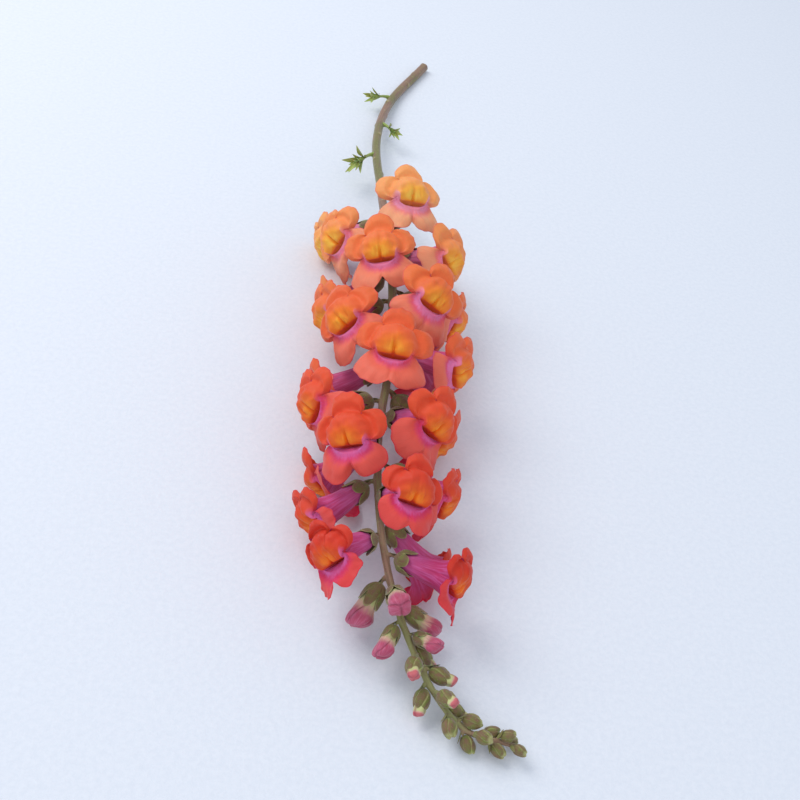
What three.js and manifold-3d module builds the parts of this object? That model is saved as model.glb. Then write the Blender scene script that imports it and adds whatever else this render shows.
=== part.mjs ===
// A cut snapdragon stem (Antirrhinum majus) lying on a table: one flowering spike on its stalk.
// Millimetres, +Z up, the table is z = 0. The stem runs along Y, with its tip at -Y and its cut end at +Y.
import * as THREE from "three";
import { mergeVertices } from "three/addons/utils/BufferGeometryUtils.js";
import Module from "manifold-3d";

const wasm = await Module();
wasm.setup();

const DEG = Math.PI / 180;
const UP = new THREE.Vector3(0, 0, 1);

// ---- Driving dimensions ----

// The stem's centreline, from the tip to the cut end: low at both ends, held up by its flowers between.
const ROUTE = [
  [45, -267, 4.5], [21, -260, 7], [3, -231, 13], [-9, -188, 21.5], [-11, -133, 26], [-4, -70, 26.5],
  [-2, 0, 24.5], [-5, 75, 18.5], [-6, 145, 11], [5, 208, 4.4], [31, 267, 2.2],
];
const MIDDLE = [-0.776, -1.726]; // where the middle of the whole stem falls in the route's own x and y
const TIP_RADIUS = 0.8;
const CUT_RADIUS = 3.0;
const TAPER = 0.6; // the radius grows as this power of the distance from the tip
const STEM_SIDES = 8;
const STEM_STEPS = 32;

// Where things grow, as distances along the stem from its tip.
const GOLDEN_ANGLE = 137.5;
const FIRST_TURN = 58; // the way the first bud faces, in degrees from straight up
const LOWEST_TURN = 135; // a flower that would face the table is pushed round to this far from the top
const GREEN_BUDS = {
  count: 15, from: 3.5, first_gap: 2.6, growth: 1.07, size: [0.6, 1.02], pitch: [26, 44], pedicel: 1.6,
};
const PINK_BUDS = { count: 5, from: 65, gap: 6.6, size: [0.66, 1.0], pitch: [44, 50], pedicel: 2.6 };
const FLORETS = { count: 26, from: 101, gap: 9.5, size: [0.92, 1.02], pitch: [56, 64], pedicel: 3.2 };
const LEAN = 3.6; // how far a flower's pitch strays, in degrees
const ROLL = 7.4; // how far a flower turns about its own tube, in degrees
const SIDE_SHOOTS = [
  { at: 372, turn: -62, length: 13, leaves: 5, leaf: 13 },
  { at: 420, turn: 78, length: 17, leaves: 6, leaf: 15 },
  { at: 466, turn: -75, length: 12, leaves: 5, leaf: 11 },
  { at: 508, turn: 60, length: 14, leaves: 5, leaf: 12 },
];

// The corolla, in its own frame: z runs out along the tube, x points to the upper lip, angles are from x.
const LOBES = [
  { middle: 28, half: 48, reach: 21.0 }, // upper lip, two lobes
  { middle: 112, half: 34, reach: 18.6 }, // side lobes of the lower lip
  { middle: 180, half: 35.5, reach: 20.4 }, // middle lobe of the lower lip
];
const LOBE_ROUNDNESS = 0.4;
const LEAST_REACH = 8.8;
const NARROWEST_BLADE = 0.7; // from the crease to the margin, where two lobes meet
const NARROWEST_CREASE = 0.6; // from the bulge to the crease, there too
const UPPER_LIP_ENDS = [70, 88]; // the upper lip gives way to the lower between these angles
const BELLY_FROM = 95; // from here round to 180 degrees the side of the lower lip turns into its middle

// The corolla's face at its upper lip, at the side of its lower lip and at the middle of that. The brow over
// the mouth and the palate's bulge are ovals: half-height, half-width and place along the tube. The crease,
// where a lip's blade begins, is a radius and a place, and the margin is a place. shifts are how far the
// centres of the brow, the bulge and the blade lie towards the upper lip.
const UPPER_FACE = {
  rim: 25.2,
  brow: [2.0, 7.0, 26.0],
  bulge: [4.8, 8.0, 26.6],
  crease: [8.6, 27.2],
  margin: 28.8,
  throat: 6.8,
  shifts: [4.0, 2.4, 1],
};
const SIDE_FACE = {
  rim: 26.0,
  brow: [4.8, 6.8, 29.8],
  bulge: [9.2, 9.2, 29.2],
  crease: [11.4, 25.8],
  margin: 23.0,
  throat: 7.6,
  shifts: [3.2, 0, 0],
};
const MIDDLE_FACE = {
  ...SIDE_FACE,
  brow: [4.8, 6.8, 31.6],
  bulge: [9.2, 9.2, 31.2],
  crease: [11.4, 26.6],
  margin: 25.0,
};
const FURROW = { from: 160, brow: 1, bulge: 1.8, narrows: 1.2 }; // how far it dips into the brow and bulge
const FOLD = { from: 10, to: 66, margin: 6.4, crease: 2.0 }; // how far the upper lip's wings fold back

const LIP_THICKNESS = 0.9;
const LIP_ROOT = 1.5; // the thickness where a lip leaves the tube
const MOUTH_HALF_WIDTH = 6.2;
const MOUTH_HALF_HEIGHT = 0.7;
const MOUTH_SHIFT = 4.4; // how far the mouth lies towards the upper lip
const MOUTH_FLOOR = 21;
const THROAT_AT = 20.5;
const TUBE = { radius: 4.4, belly: 0.8, at: 6.5 };
const COROLLA_ANGLES = [0, 19, 40, 61, 80, 95, 112, 129, 146, 163, 180];
const OPEN_FROM = 0.35; // how far the youngest flower has opened, where 1 is fully
const OPEN_BY = 0.3; // the share of the flowers, from the youngest, that are still opening
const UNOPENED = { reach: 0.7, upper: [7, 2.4], lower: [3.5, 1] }; // short lips, margin and crease forward

// Pink and green buds: the radii of their rings, and how far along they lie.
const PINK_BUD_SHAPE = [[2.6, 0.4], [3.9, 4], [3.6, 8], [4.5, 12], [4.2, 15.3]];
const PINK_BUD_ENDS = [0.2, 16.6];
const PINK_BUD_SIDES = 10;
const PINK_BUD_OVAL = 0.05; // each ring is this much more oval than the one before
const GREEN_BUD_SHAPE = [[2.3, -2.6], [3.45, 0.6], [2.6, 4.4]];
const GREEN_BUD_TOP = 6;
const SEPAL_GROOVE = 0.86; // the radius between two sepals of a closed bud, as a share of that on a sepal

// The calyx, in the same frame: a cup that stands clear of the corolla, with its inside's radii and places.
const SEPALS = 5;
const SEPAL_THICKNESS = 0.75;
const CALYX_WAIST = [5.0, -0.2];
const SEPAL_TIP = [5.9, 8.2];
const SEPAL_NOTCH = [5.2, 1.6];
const CUP_FLOOR = [4.9, 0, -0.5]; // the radius of its edge, and where its edge and its middle lie
const CALYX_DEPTH = 3.6; // from the foot of the calyx to the foot of the corolla
const PEDICEL_RADIUS = 0.9;
const PEDICEL_FLARE = 1.2; // how much wider it is at the stem
const PEDICEL_SEAT = 1.2; // how far it reaches into the calyx
const PEDICEL_RISE = [0.8, 0.6]; // the shares of its length that it runs outwards and towards the tip
const PEDICEL_SIDES = 3;

// Leaf blades: their half-widths, as shares of the full width, at shares of their length.
const BLADE_OUTLINE = [[0, 0.35], [0.45, 1], [1, 0.12]];
const BLADE_THICKNESS = 0.7;

// The table pushes up whatever would hang lower than this, and leaves nothing below z = 0.
const PRESS_HEIGHT = 5;

// ---- Small helpers ----

const mix = (a, b, t) => a + (b - a) * t;
const clamp01 = (t) => Math.min(1, Math.max(0, t));
const smooth = (a, b, t) => {
  const k = clamp01((t - a) / (b - a));
  return k * k * (3 - 2 * k);
};
const sway = (i, k) => Math.sin(i * 2.4 + k * 4.75 + i * i * 0.17); // a fixed irregularity between -1 and 1

// How far the table lifts a point that would be at this height.
function lift(z) {
  if (z > PRESS_HEIGHT) return 0;
  const low = Math.max(z, -PRESS_HEIGHT);
  return (low + PRESS_HEIGHT) ** 2 / (4 * PRESS_HEIGHT) - z;
}

// Lifts rings of points off the table. Front rings come before number edge, and the back of the same wall
// after it: the pairs of rings nearest the edge move together, so that the thin wall keeps its thickness.
function press(rings, edge, pairs) {
  for (let k = 0; k < rings.length; k++) {
    const twin = Math.abs(k - edge + 0.5) < pairs ? 2 * edge - 1 - k : k;
    if (twin < k) continue;
    rings[k].forEach((p, i) => {
      const q = rings[twin][i];
      const rise = lift(Math.min(p.z, q.z));
      p.z += rise;
      if (twin !== k) q.z += rise;
    });
  }
}

// A closed skin over rings of points, from a first pole to a last one, as a solid. From ring number edge on,
// its quads are split the other way, so that the two faces of a thin wall are split alike.
function skin(first, rings, last, edge = rings.length) {
  const n = rings[0].length;
  const points = [first, ...rings.flat(), last];
  const faces = [];
  for (let i = 0; i < n; i++) faces.push(0, 1 + ((i + 1) % n), 1 + i);
  for (let r = 0; r + 1 < rings.length; r++)
    for (let i = 0; i < n; i++) {
      const a = 1 + r * n + i;
      const b = 1 + r * n + ((i + 1) % n);
      if (r < edge - 1) faces.push(a, b, b + n, a, b + n, a + n);
      else faces.push(a, b, a + n, b, b + n, a + n);
    }
  const end = points.length - 1;
  for (let i = 0; i < n; i++) faces.push(end, end - n + i, end - n + ((i + 1) % n));
  const cross = new THREE.Vector3();
  let six = 0;
  for (let f = 0; f < faces.length; f += 3)
    six += points[faces[f]].dot(cross.crossVectors(points[faces[f + 1]], points[faces[f + 2]]));
  if (six < 0) faces.reverse();
  return new wasm.Manifold(
    new wasm.Mesh({
      numProp: 3,
      vertProperties: new Float32Array(points.flatMap((p) => [p.x, p.y, p.z])),
      triVerts: new Uint32Array(faces),
    }),
  );
}

// A tapered rod through points, flat where it meets the table. ref is any direction that it never runs along.
function rod(points, radii, sides, ref) {
  const rings = points.map((p, i) => {
    const before = points[Math.max(i - 1, 0)];
    const after = points[Math.min(i + 1, points.length - 1)];
    const along = after.clone().sub(before).normalize();
    const x = ref.clone().addScaledVector(along, -ref.dot(along)).normalize();
    const y = along.clone().cross(x);
    return Array.from({ length: sides }, (_, k) => {
      const a = ((k + 0.5) / sides) * 2 * Math.PI;
      const q = p.clone();
      q.addScaledVector(x, radii[i] * Math.cos(a));
      q.addScaledVector(y, radii[i] * Math.sin(a));
      return q.setZ(Math.max(q.z, 0));
    });
  });
  return skin(points[0], rings, points[points.length - 1]);
}

// A leaf blade: it starts at root, runs along, faces face, and arches away from that face.
function blade({ root, along, face, length, width, arch }) {
  const side = along.clone().cross(face).normalize();
  const corners = [[-0.5, 0.5], [0.5, 0.5], [0.5, -0.5], [-0.5, -0.5]];
  const rings = BLADE_OUTLINE.map(([t, w]) => {
    const p = root.clone().addScaledVector(along, length * t).addScaledVector(face, -arch * length * t * t);
    return corners.map(([across, up]) => {
      const q = p.clone().addScaledVector(side, across * width * w);
      return q.addScaledVector(face, up * BLADE_THICKNESS);
    });
  });
  press(rings, 0, 0);
  const middle = (ring) => ring[0].clone().add(ring[2]).multiplyScalar(0.5);
  return skin(middle(rings[0]), rings, middle(rings[rings.length - 1]));
}

const fuse = (solids) => wasm.Manifold.union(solids);

// ---- The stem's centreline ----

const CURVE = new THREE.CatmullRomCurve3(
  ROUTE.map(([x, y, z]) => new THREE.Vector3(x - MIDDLE[0], y - MIDDLE[1], z)),
  false,
  "catmullrom",
  0.5,
);
const CURVE_SAMPLES = 400;
const LENGTHS = [0];
for (let i = 1; i <= CURVE_SAMPLES; i++) {
  const step = CURVE.getPoint(i / CURVE_SAMPLES).distanceTo(CURVE.getPoint((i - 1) / CURVE_SAMPLES));
  LENGTHS.push(LENGTHS[i - 1] + step);
}
const STEM_LENGTH = LENGTHS[CURVE_SAMPLES];

// The point at a distance from the tip, with the directions to the tip, upwards and sideways there.
function station(distance) {
  let i = 1;
  while (i < CURVE_SAMPLES && LENGTHS[i] < distance) i++;
  const t = (i - 1 + (distance - LENGTHS[i - 1]) / (LENGTHS[i] - LENGTHS[i - 1])) / CURVE_SAMPLES;
  const point = CURVE.getPoint(clamp01(t));
  const toTip = CURVE.getTangent(clamp01(t)).negate();
  const up = UP.clone().addScaledVector(toTip, -UP.dot(toTip)).normalize();
  return { point, toTip, up, side: toTip.clone().cross(up) };
}

const stemRadius = (distance) => mix(TIP_RADIUS, CUT_RADIUS, clamp01(distance / STEM_LENGTH) ** TAPER);

function mainStem() {
  const points = [];
  const radii = [];
  for (let i = 0; i <= STEM_STEPS; i++) {
    const distance = (i / STEM_STEPS) * STEM_LENGTH;
    points.push(station(distance).point);
    radii.push(stemRadius(distance));
  }
  return rod(points, radii, STEM_SIDES, UP);
}

// ---- Where buds and flowers sit ----

// From direction a towards direction b by an angle in degrees, where the two are square to each other.
const turned = (a, b, degrees) =>
  a.clone().multiplyScalar(Math.cos(degrees * DEG)).addScaledVector(b, Math.sin(degrees * DEG));

// Turns follow the golden angle. One that faces down is pushed round to the side, as the table does.
function turnOf(index) {
  const turn = ((((FIRST_TURN + index * GOLDEN_ANGLE) % 360) + 540) % 360) - 180;
  const squeeze = (180 - LOWEST_TURN) / 180;
  return turn * (1 - squeeze * (Math.abs(turn) / 180) ** 1.5);
}

// The frame of a bud or flower: origin at the foot of its corolla, z out along it, x towards the stem's tip.
function seat({ at: distance, pitch, size, pedicel, roll = 0 }, turn) {
  const s = station(distance);
  const out = turned(s.up, s.side, turn);
  const axis = turned(s.toTip, out, pitch);
  const [outwards, tipwards] = PEDICEL_RISE;
  const foot = s.point.clone()
    .addScaledVector(out, stemRadius(distance) + pedicel * size * outwards)
    .addScaledVector(s.toTip, pedicel * size * tipwards);
  const origin = foot.clone().addScaledVector(axis, CALYX_DEPTH * size);
  const dorsal = s.toTip.clone().addScaledVector(axis, -s.toTip.dot(axis)).normalize();
  const x = turned(dorsal, axis.clone().cross(dorsal), roll);
  return { s, foot, origin, x, y: axis.clone().cross(x), z: axis, size };
}

function inFrame(f, x, y, z) {
  const p = f.origin.clone().addScaledVector(f.x, x * f.size);
  return p.addScaledVector(f.y, y * f.size).addScaledVector(f.z, z * f.size);
}

// Every bud and flower in order from the tip: what it is, where it grows, and how far it has opened.
function growth() {
  const list = [];
  let next = GREEN_BUDS.from;
  for (let i = 0; i < GREEN_BUDS.count; i++) {
    const t = i / (GREEN_BUDS.count - 1);
    const { size, pitch, pedicel } = GREEN_BUDS;
    list.push({ kind: "green", at: next, size: mix(...size, t), pitch: mix(...pitch, t), pedicel });
    next += GREEN_BUDS.first_gap * GREEN_BUDS.growth ** i;
  }
  for (let i = 0; i < PINK_BUDS.count; i++) {
    const t = i / (PINK_BUDS.count - 1);
    const { from, gap, size, pitch, pedicel } = PINK_BUDS;
    list.push({ kind: "pink", at: from + i * gap, size: mix(...size, t), pitch: mix(...pitch, t), pedicel });
  }
  for (let i = 0; i < FLORETS.count; i++) {
    const t = i / (FLORETS.count - 1);
    list.push({
      kind: "open",
      at: FLORETS.from + i * FLORETS.gap,
      size: mix(...FLORETS.size, smooth(0, 0.5, t)),
      pitch: mix(...FLORETS.pitch, t) + LEAN * sway(i, 1),
      pedicel: FLORETS.pedicel,
      roll: ROLL * sway(i, 2),
      openness: mix(OPEN_FROM, 1, smooth(0, OPEN_BY, t)),
    });
  }
  for (const [i, b] of list.entries()) b.frame = seat(b, turnOf(i));
  return list;
}

// ---- Green pieces: pedicels, calyces and closed buds, all one body with the stem ----

function pedicel(f) {
  const end = f.foot.clone().addScaledVector(f.z, PEDICEL_SEAT * f.size);
  const radius = PEDICEL_RADIUS * f.size;
  return rod([f.s.point, end], [radius * PEDICEL_FLARE, radius], PEDICEL_SIDES, f.s.toTip);
}

// Points round a sepalled piece: even ones on the sepals' middles, odd ones between two sepals.
const sepalRing = (f, ofSepal) =>
  Array.from({ length: SEPALS * 2 }, (_, k) => {
    const a = (k / (SEPALS * 2)) * 2 * Math.PI;
    const [radius, z] = ofSepal(k % 2 === 0);
    return inFrame(f, radius * Math.cos(a), radius * Math.sin(a), z);
  });

function calyx(f) {
  const outside = ([radius, z]) => [radius + SEPAL_THICKNESS / f.size, z];
  const [floorRadius, floorEdge, floorMiddle] = CUP_FLOOR;
  const rings = [
    sepalRing(f, () => outside(CALYX_WAIST)),
    sepalRing(f, (sepal) => outside(sepal ? SEPAL_TIP : SEPAL_NOTCH)),
    sepalRing(f, (sepal) => (sepal ? SEPAL_TIP : SEPAL_NOTCH)),
    sepalRing(f, () => [floorRadius, floorEdge]),
  ];
  press(rings, 2, 2);
  return skin(inFrame(f, 0, 0, -CALYX_DEPTH), rings, inFrame(f, 0, 0, floorMiddle), 2);
}

// A closed bud still wrapped in its five sepals.
function greenBud(f) {
  const rings = GREEN_BUD_SHAPE.map(([radius, z]) =>
    sepalRing(f, (sepal) => [sepal ? radius : radius * SEPAL_GROOVE, z]));
  press(rings, 0, 0);
  return skin(inFrame(f, 0, 0, -CALYX_DEPTH), rings, inFrame(f, 0, 0, GREEN_BUD_TOP));
}

// ---- Pink pieces: corollas ----

// How far the lips reach from the mouth, at an angle from the upper lip's middle. Lobes meet in notches.
function lipReach(angle) {
  const shares = LOBES.map(({ middle, half, reach }) => {
    const off = Math.min(1, Math.abs(angle - middle) / half);
    return mix(LEAST_REACH, reach, Math.max(0, Math.cos((off * Math.PI) / 2)) ** LOBE_ROUNDNESS);
  });
  return Math.max(...shares);
}

// A face between two others: every number of a, mixed with its fellow in b.
function mixFaces(a, b, t) {
  const blend = (p, q) => (Array.isArray(p) ? p.map((value, i) => mix(value, q[i], t)) : mix(p, q, t));
  return Object.fromEntries(Object.keys(a).map((key) => [key, blend(a[key], b[key])]));
}

// The corolla's profile at an angle, from inside the mouth over the palate and the lip's face to its margin,
// and back down the outside of the tube. Each point lies on an oval: its half-height and half-width, its
// place along the tube, and how far its centre lies towards the upper lip. A young flower's lips are shorter
// and stand forward.
function corollaProfile(angle, openness) {
  const upper = 1 - smooth(...UPPER_LIP_ENDS, angle);
  const belly = smooth(BELLY_FROM, 180, angle);
  const face = mixFaces(mixFaces(SIDE_FACE, MIDDLE_FACE, belly), UPPER_FACE, upper);
  const furrow = smooth(FURROW.from, 180, angle);
  const fold = smooth(FOLD.from, FOLD.to, angle) * upper;
  const forward = UNOPENED.lower.map((lower, i) => mix(lower, UNOPENED.upper[i], upper) * (1 - openness));
  const [browHigh, browWide, browZ] = face.brow;
  const [bulgeHigh, bulgeWide, bulgeZ] = face.bulge;
  const [browShift, bulgeShift, shift] = face.shifts;
  const reach = Math.max(LEAST_REACH, lipReach(angle) * mix(UNOPENED.reach, 1, openness));
  const crease = Math.min(face.crease[0], reach - NARROWEST_BLADE);
  const bulge = Math.min(bulgeWide, crease - NARROWEST_CREASE);
  const marginZ = face.margin - FOLD.margin * fold + forward[0];
  const creaseZ = face.crease[1] - FOLD.crease * fold + forward[1];
  const run = Math.hypot(reach - crease, marginZ - creaseZ);
  const back = { r: (marginZ - creaseZ) / run, z: (crease - reach) / run }; // from a lip's face to its back
  const point = (high, wide, z, shift) => ({ high, wide, z, shift });
  const round = (radius, z, shift) => point(radius, radius, z, shift);
  const dent = Math.min(bulgeHigh, bulge) - FURROW.narrows * furrow;
  return [
    point(MOUTH_HALF_HEIGHT, MOUTH_HALF_WIDTH, face.rim, MOUTH_SHIFT),
    point(browHigh, browWide, browZ - FURROW.brow * furrow, browShift),
    point(dent, bulge, bulgeZ - FURROW.bulge * furrow, bulgeShift),
    round(crease, creaseZ, shift),
    round(reach, marginZ, shift),
    round(reach + LIP_THICKNESS * back.r, marginZ + LIP_THICKNESS * back.z, shift),
    round(crease + LIP_ROOT * back.r, creaseZ + LIP_ROOT * back.z, shift),
    round(face.throat, THROAT_AT, 0),
    round(TUBE.radius + TUBE.belly * belly, TUBE.at, 0),
  ];
}

const LIP_EDGE = 5; // the number of the first profile point behind the margin
const LIP_PAIRS = 2; // profile points on each side of it that are the two faces of a thin lip

function corolla(f, openness) {
  const half = COROLLA_ANGLES;
  const angles = [...half, ...half.slice(1, -1).reverse().map((a) => -a)];
  const profiles = angles.map((a) => corollaProfile(Math.abs(a), openness));
  const rings = profiles[0].map((_, k) =>
    angles.map((a, i) => {
      const { high, wide, z, shift } = profiles[i][k];
      return inFrame(f, shift + high * Math.cos(a * DEG), wide * Math.sin(a * DEG), z);
    }));
  const poles = [inFrame(f, MOUTH_SHIFT, 0, MOUTH_FLOOR), inFrame(f, 0, 0, 0)];
  press(rings, LIP_EDGE, LIP_PAIRS);
  press([poles], 0, 0);
  return skin(poles[0], rings, poles[1], LIP_EDGE);
}

// A pink bud: the same tube with its lips still folded shut into a blunt head.
function budCorolla(f) {
  const rings = PINK_BUD_SHAPE.map(([radius, z], k) =>
    Array.from({ length: PINK_BUD_SIDES }, (_, i) => {
      const a = (i / PINK_BUD_SIDES) * 2 * Math.PI;
      const r = radius * (1 + PINK_BUD_OVAL * k * Math.cos(2 * a));
      return inFrame(f, r * Math.cos(a), r * Math.sin(a), z);
    }));
  press(rings, 0, 0);
  return skin(inFrame(f, 0, 0, PINK_BUD_ENDS[0]), rings, inFrame(f, 0, 0, PINK_BUD_ENDS[1]));
}

// ---- Side shoots on the bare stalk: a short twig with a tuft of small narrow leaves ----

const TWIG_RADII = [1.0, 0.85, 0.7];
const TWIG_SIDES = 5;
const TWIG_PITCH = 30; // from the stem, in degrees
const TWIG_CLEAR = 1.4; // from the stem's surface to the middle of the twig's foot
const LEAF_WIDTH = 0.22; // as a share of a leaf's length
const LEAF_ARCH = 0.12;

function sideShoot({ at, turn, length, leaves, leaf }) {
  const s = station(at);
  const out = turned(s.up, s.side, turn);
  const grow = turned(s.toTip, out, TWIG_PITCH);
  const root = s.point.clone().addScaledVector(out, stemRadius(at) + TWIG_CLEAR).addScaledVector(s.toTip, 1);
  const along = (share) => root.clone().addScaledVector(grow, length * share);
  const solids = [rod([root, along(0.5), along(1)], TWIG_RADII, TWIG_SIDES, s.up)];
  const lateral = grow.clone().cross(s.up).normalize();
  const across = lateral.clone().cross(grow);
  for (let i = 0; i < leaves; i++) {
    const t = (i + 1) / leaves;
    const away = turned(lateral, across, i * GOLDEN_ANGLE + at / DEG);
    const run = grow.clone().multiplyScalar(mix(0.9, 1.3, t)).addScaledVector(away, mix(0.7, 0.3, t));
    run.normalize();
    solids.push(blade({
      root: along(mix(0.25, 0.97, t)),
      along: run,
      face: grow.clone().addScaledVector(run, -grow.dot(run)).normalize(),
      length: leaf * mix(1, 0.7, t),
      width: leaf * LEAF_WIDTH,
      arch: LEAF_ARCH,
    }));
  }
  return fuse(solids);
}

// ---- Assembly ----

const LOOKS = {
  stem: { color: 0x6f6a45, roughness: 0.65, metalness: 0 },
  shoot: { color: 0x86a83c, roughness: 0.6, metalness: 0 },
  bud: { color: 0xb64a6e, roughness: 0.55, metalness: 0 },
};
const YOUNG_RED = new THREE.Color(0xdf4440);
const OLD_ORANGE = new THREE.Color(0xf0913f);

const part = new THREE.Group();

function addNode(name, solid, look) {
  const mesh = solid.getMesh();
  const geometry = new THREE.BufferGeometry();
  geometry.setAttribute("position", new THREE.BufferAttribute(new Float32Array(mesh.vertProperties), 3));
  geometry.setIndex(new THREE.BufferAttribute(new Uint32Array(mesh.triVerts), 1));
  const node = new THREE.Mesh(mergeVertices(geometry, 1e-4), new THREE.MeshStandardMaterial(look));
  node.name = name;
  part.add(node);
}

const numbered = (name, i) => name + "_" + String(i + 1).padStart(2, "0");
const grown = growth();
const ofKind = (kind) => grown.filter((b) => b.kind === kind);

addNode("stem", fuse([
  mainStem(),
  ...grown.map((b) => pedicel(b.frame)),
  ...ofKind("green").map((b) => greenBud(b.frame)),
  ...[...ofKind("pink"), ...ofKind("open")].map((b) => calyx(b.frame)),
]), LOOKS.stem);

for (const [i, b] of ofKind("open").entries()) {
  const color = YOUNG_RED.clone().lerp(OLD_ORANGE, i / (FLORETS.count - 1));
  addNode(numbered("floret", i), corolla(b.frame, b.openness), { color, roughness: 0.6, metalness: 0 });
}
for (const [i, b] of ofKind("pink").entries())
  addNode(numbered("bud", i), budCorolla(b.frame), LOOKS.bud);
for (const [i, shoot] of SIDE_SHOOTS.entries())
  addNode(numbered("side_shoot", i), sideShoot(shoot), LOOKS.shoot);

export default part;
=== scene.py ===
# %% [markdown]
# # A cut snapdragon stem
# The solids of this part are plain and faceted. Here each of them gets a finely shaped piece over it, with
# its own finish: petals, calyces, buds, bracts, hairs, the stalk and its leafy shoots. The solids are
# loaded first, as a fixed frame, because every piece is placed by the same measures as they are.

# %% Load the solids
import math

import bpy
import numpy as np
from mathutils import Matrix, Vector


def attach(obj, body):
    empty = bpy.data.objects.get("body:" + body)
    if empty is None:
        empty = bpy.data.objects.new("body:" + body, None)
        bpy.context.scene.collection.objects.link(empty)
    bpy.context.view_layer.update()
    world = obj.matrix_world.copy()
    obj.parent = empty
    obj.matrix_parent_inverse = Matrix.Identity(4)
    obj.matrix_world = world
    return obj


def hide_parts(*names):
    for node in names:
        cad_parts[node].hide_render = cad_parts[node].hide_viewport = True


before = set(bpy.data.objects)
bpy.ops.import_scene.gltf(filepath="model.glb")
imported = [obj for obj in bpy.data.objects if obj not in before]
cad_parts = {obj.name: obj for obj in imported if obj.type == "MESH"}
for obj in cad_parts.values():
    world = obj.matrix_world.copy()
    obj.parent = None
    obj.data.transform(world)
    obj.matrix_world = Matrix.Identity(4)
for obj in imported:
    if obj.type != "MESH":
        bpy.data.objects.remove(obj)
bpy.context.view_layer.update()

MM = 0.001

# %% [markdown]
# ## Camera, table and light
# The stem lies on a pale table in soft daylight, and is looked down on from beyond its tip. The camera's
# first direction is set out by two angles, and then the camera is turned the shortest way towards the
# middle of the flowers, so that the view hardly rolls. One wide area light stands for the window and
# another, in front, for the light that comes back from the room. The sky lifts the shadows.

# %% Camera
CAMERA_AT = Vector((-0.0704, -0.4896, 0.3924))
LOOKS_DOWN, LOOKS_LEFT = math.radians(45), math.radians(8)
AIM = Vector((0.002, -0.094, 0.018))
LENS, SENSOR_WIDTH = 52, 36  # in mm, as they are written on a real camera
NEAREST = 0.01

first_look = Vector((
    -math.sin(LOOKS_LEFT) * math.cos(LOOKS_DOWN),
    math.cos(LOOKS_LEFT) * math.cos(LOOKS_DOWN),
    -math.sin(LOOKS_DOWN),
))
new_look = (AIM - CAMERA_AT).normalized()
bpy.ops.object.camera_add(location=CAMERA_AT)
camera = bpy.context.object
camera.name = "camera"
camera.data.lens = LENS
camera.data.sensor_width = SENSOR_WIDTH
camera.data.clip_start = NEAREST
camera.rotation_mode = "QUATERNION"
camera.rotation_quaternion = first_look.rotation_difference(new_look) @ first_look.to_track_quat("-Z", "Y")
bpy.context.scene.camera = camera
print("camera", [round(x, 3) for x in camera.location], "lens", camera.data.lens)

# %% Table
TABLE_SIZE = 30  # in metres, so that its edge is far behind the stem


def deselect():
    bpy.ops.object.select_all(action="DESELECT")


deselect()
bpy.ops.mesh.primitive_plane_add(size=TABLE_SIZE, location=(0, 0, 0))
table = bpy.context.object
table.name = "table"
print("table:", TABLE_SIZE, "m wide")

# %% Light
LIT_POINT = Vector((0, -0.05, 0.02))
SKY_COLOR, SKY_STRENGTH = (0.82, 0.89, 1.0, 1), 0.7


def area_light(name, place, size, energy, color):
    """A round soft light that faces the flowers, this many metres wide and this many watts strong."""
    bpy.ops.object.light_add(type="AREA", location=place)
    light = bpy.context.object
    light.name = name
    light.data.shape = "DISK"
    light.data.size = size
    light.data.energy = energy
    light.data.color = color
    light.rotation_mode = "QUATERNION"
    light.rotation_quaternion = (LIT_POINT - light.location).to_track_quat("-Z", "Y")
    light.visible_camera = False
    return light


window = area_light("window", place=(-0.9, 0.55, 1.25), size=1.2, energy=13.3, color=(1.0, 0.985, 0.96))
room = area_light("room", place=(0.3, -1.7, 1.4), size=2.0, energy=8.2, color=(1.0, 0.97, 0.92))

sky = bpy.data.worlds.new("sky")
bpy.context.scene.world = sky
sky.use_nodes = True
sky.node_tree.nodes["Background"].inputs["Color"].default_value = SKY_COLOR
sky.node_tree.nodes["Background"].inputs["Strength"].default_value = SKY_STRENGTH
bpy.context.scene.view_settings.view_transform = "Standard"
print("lit by", window.name, room.name, "and", sky.name)

# %% [markdown]
# ## Tools for rolled skins
# Petals, sepals, buds and stalks are all closed skins of soft double curves, which box modelling can't
# follow. Each one starts as a flat grid primitive, whose columns will run round the piece and whose rows
# will run along it. The grid's vertices are then moved to the points that a formula gives, its two long
# edges meet in a seam, and its first and last rows close at a point. In edit mode, merge by distance closes
# the seam, and the normals are made to point outwards. A piece's place along itself, its creases and its
# edges are kept as marks on its points, for its finish.

# %% Soft steps and bells
def smooth(low, high, x):
    """A soft step from 0 at low to 1 at high, or a falling one where low is the larger of the two."""
    t = np.clip((x - low) / (high - low), 0, 1)
    return t * t * (3 - 2 * t)


def mix(a, b, t):
    return a + (b - a) * t


def bell(off, width):
    """1 where off is 0, falling softly on both sides. At a width from the middle about a third is left."""
    return np.exp(-((off / width) ** 2))


print("a soft step:", [round(float(smooth(0, 1, x)), 2) for x in (0, 0.25, 0.5, 0.75, 1)])
print("a bell:", [round(float(bell(x, 1)), 2) for x in (0, 0.5, 1, 2)])


# %% Rings and the curves between them
def full_turn(columns):
    """Angles once round a piece, the first and last of which meet in the seam."""
    return np.linspace(-np.pi, np.pi, columns + 1)


def ring(turn, high, z, wide=None, shift=0.0):
    """Points round the z axis at the angles turn. high is the radius, or the half height along x where wide
    gives the half width along y."""
    wide = high if wide is None else wide
    return np.stack([shift + high * np.cos(turn), wide * np.sin(turn), np.broadcast_to(z, turn.shape)], 1)


def hoop(turn, centre, radius, x, y):
    """Points round a centre, in the plane of the directions x and y."""
    return centre + np.outer(radius * np.cos(turn), x) + np.outer(radius * np.sin(turn), y)


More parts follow.
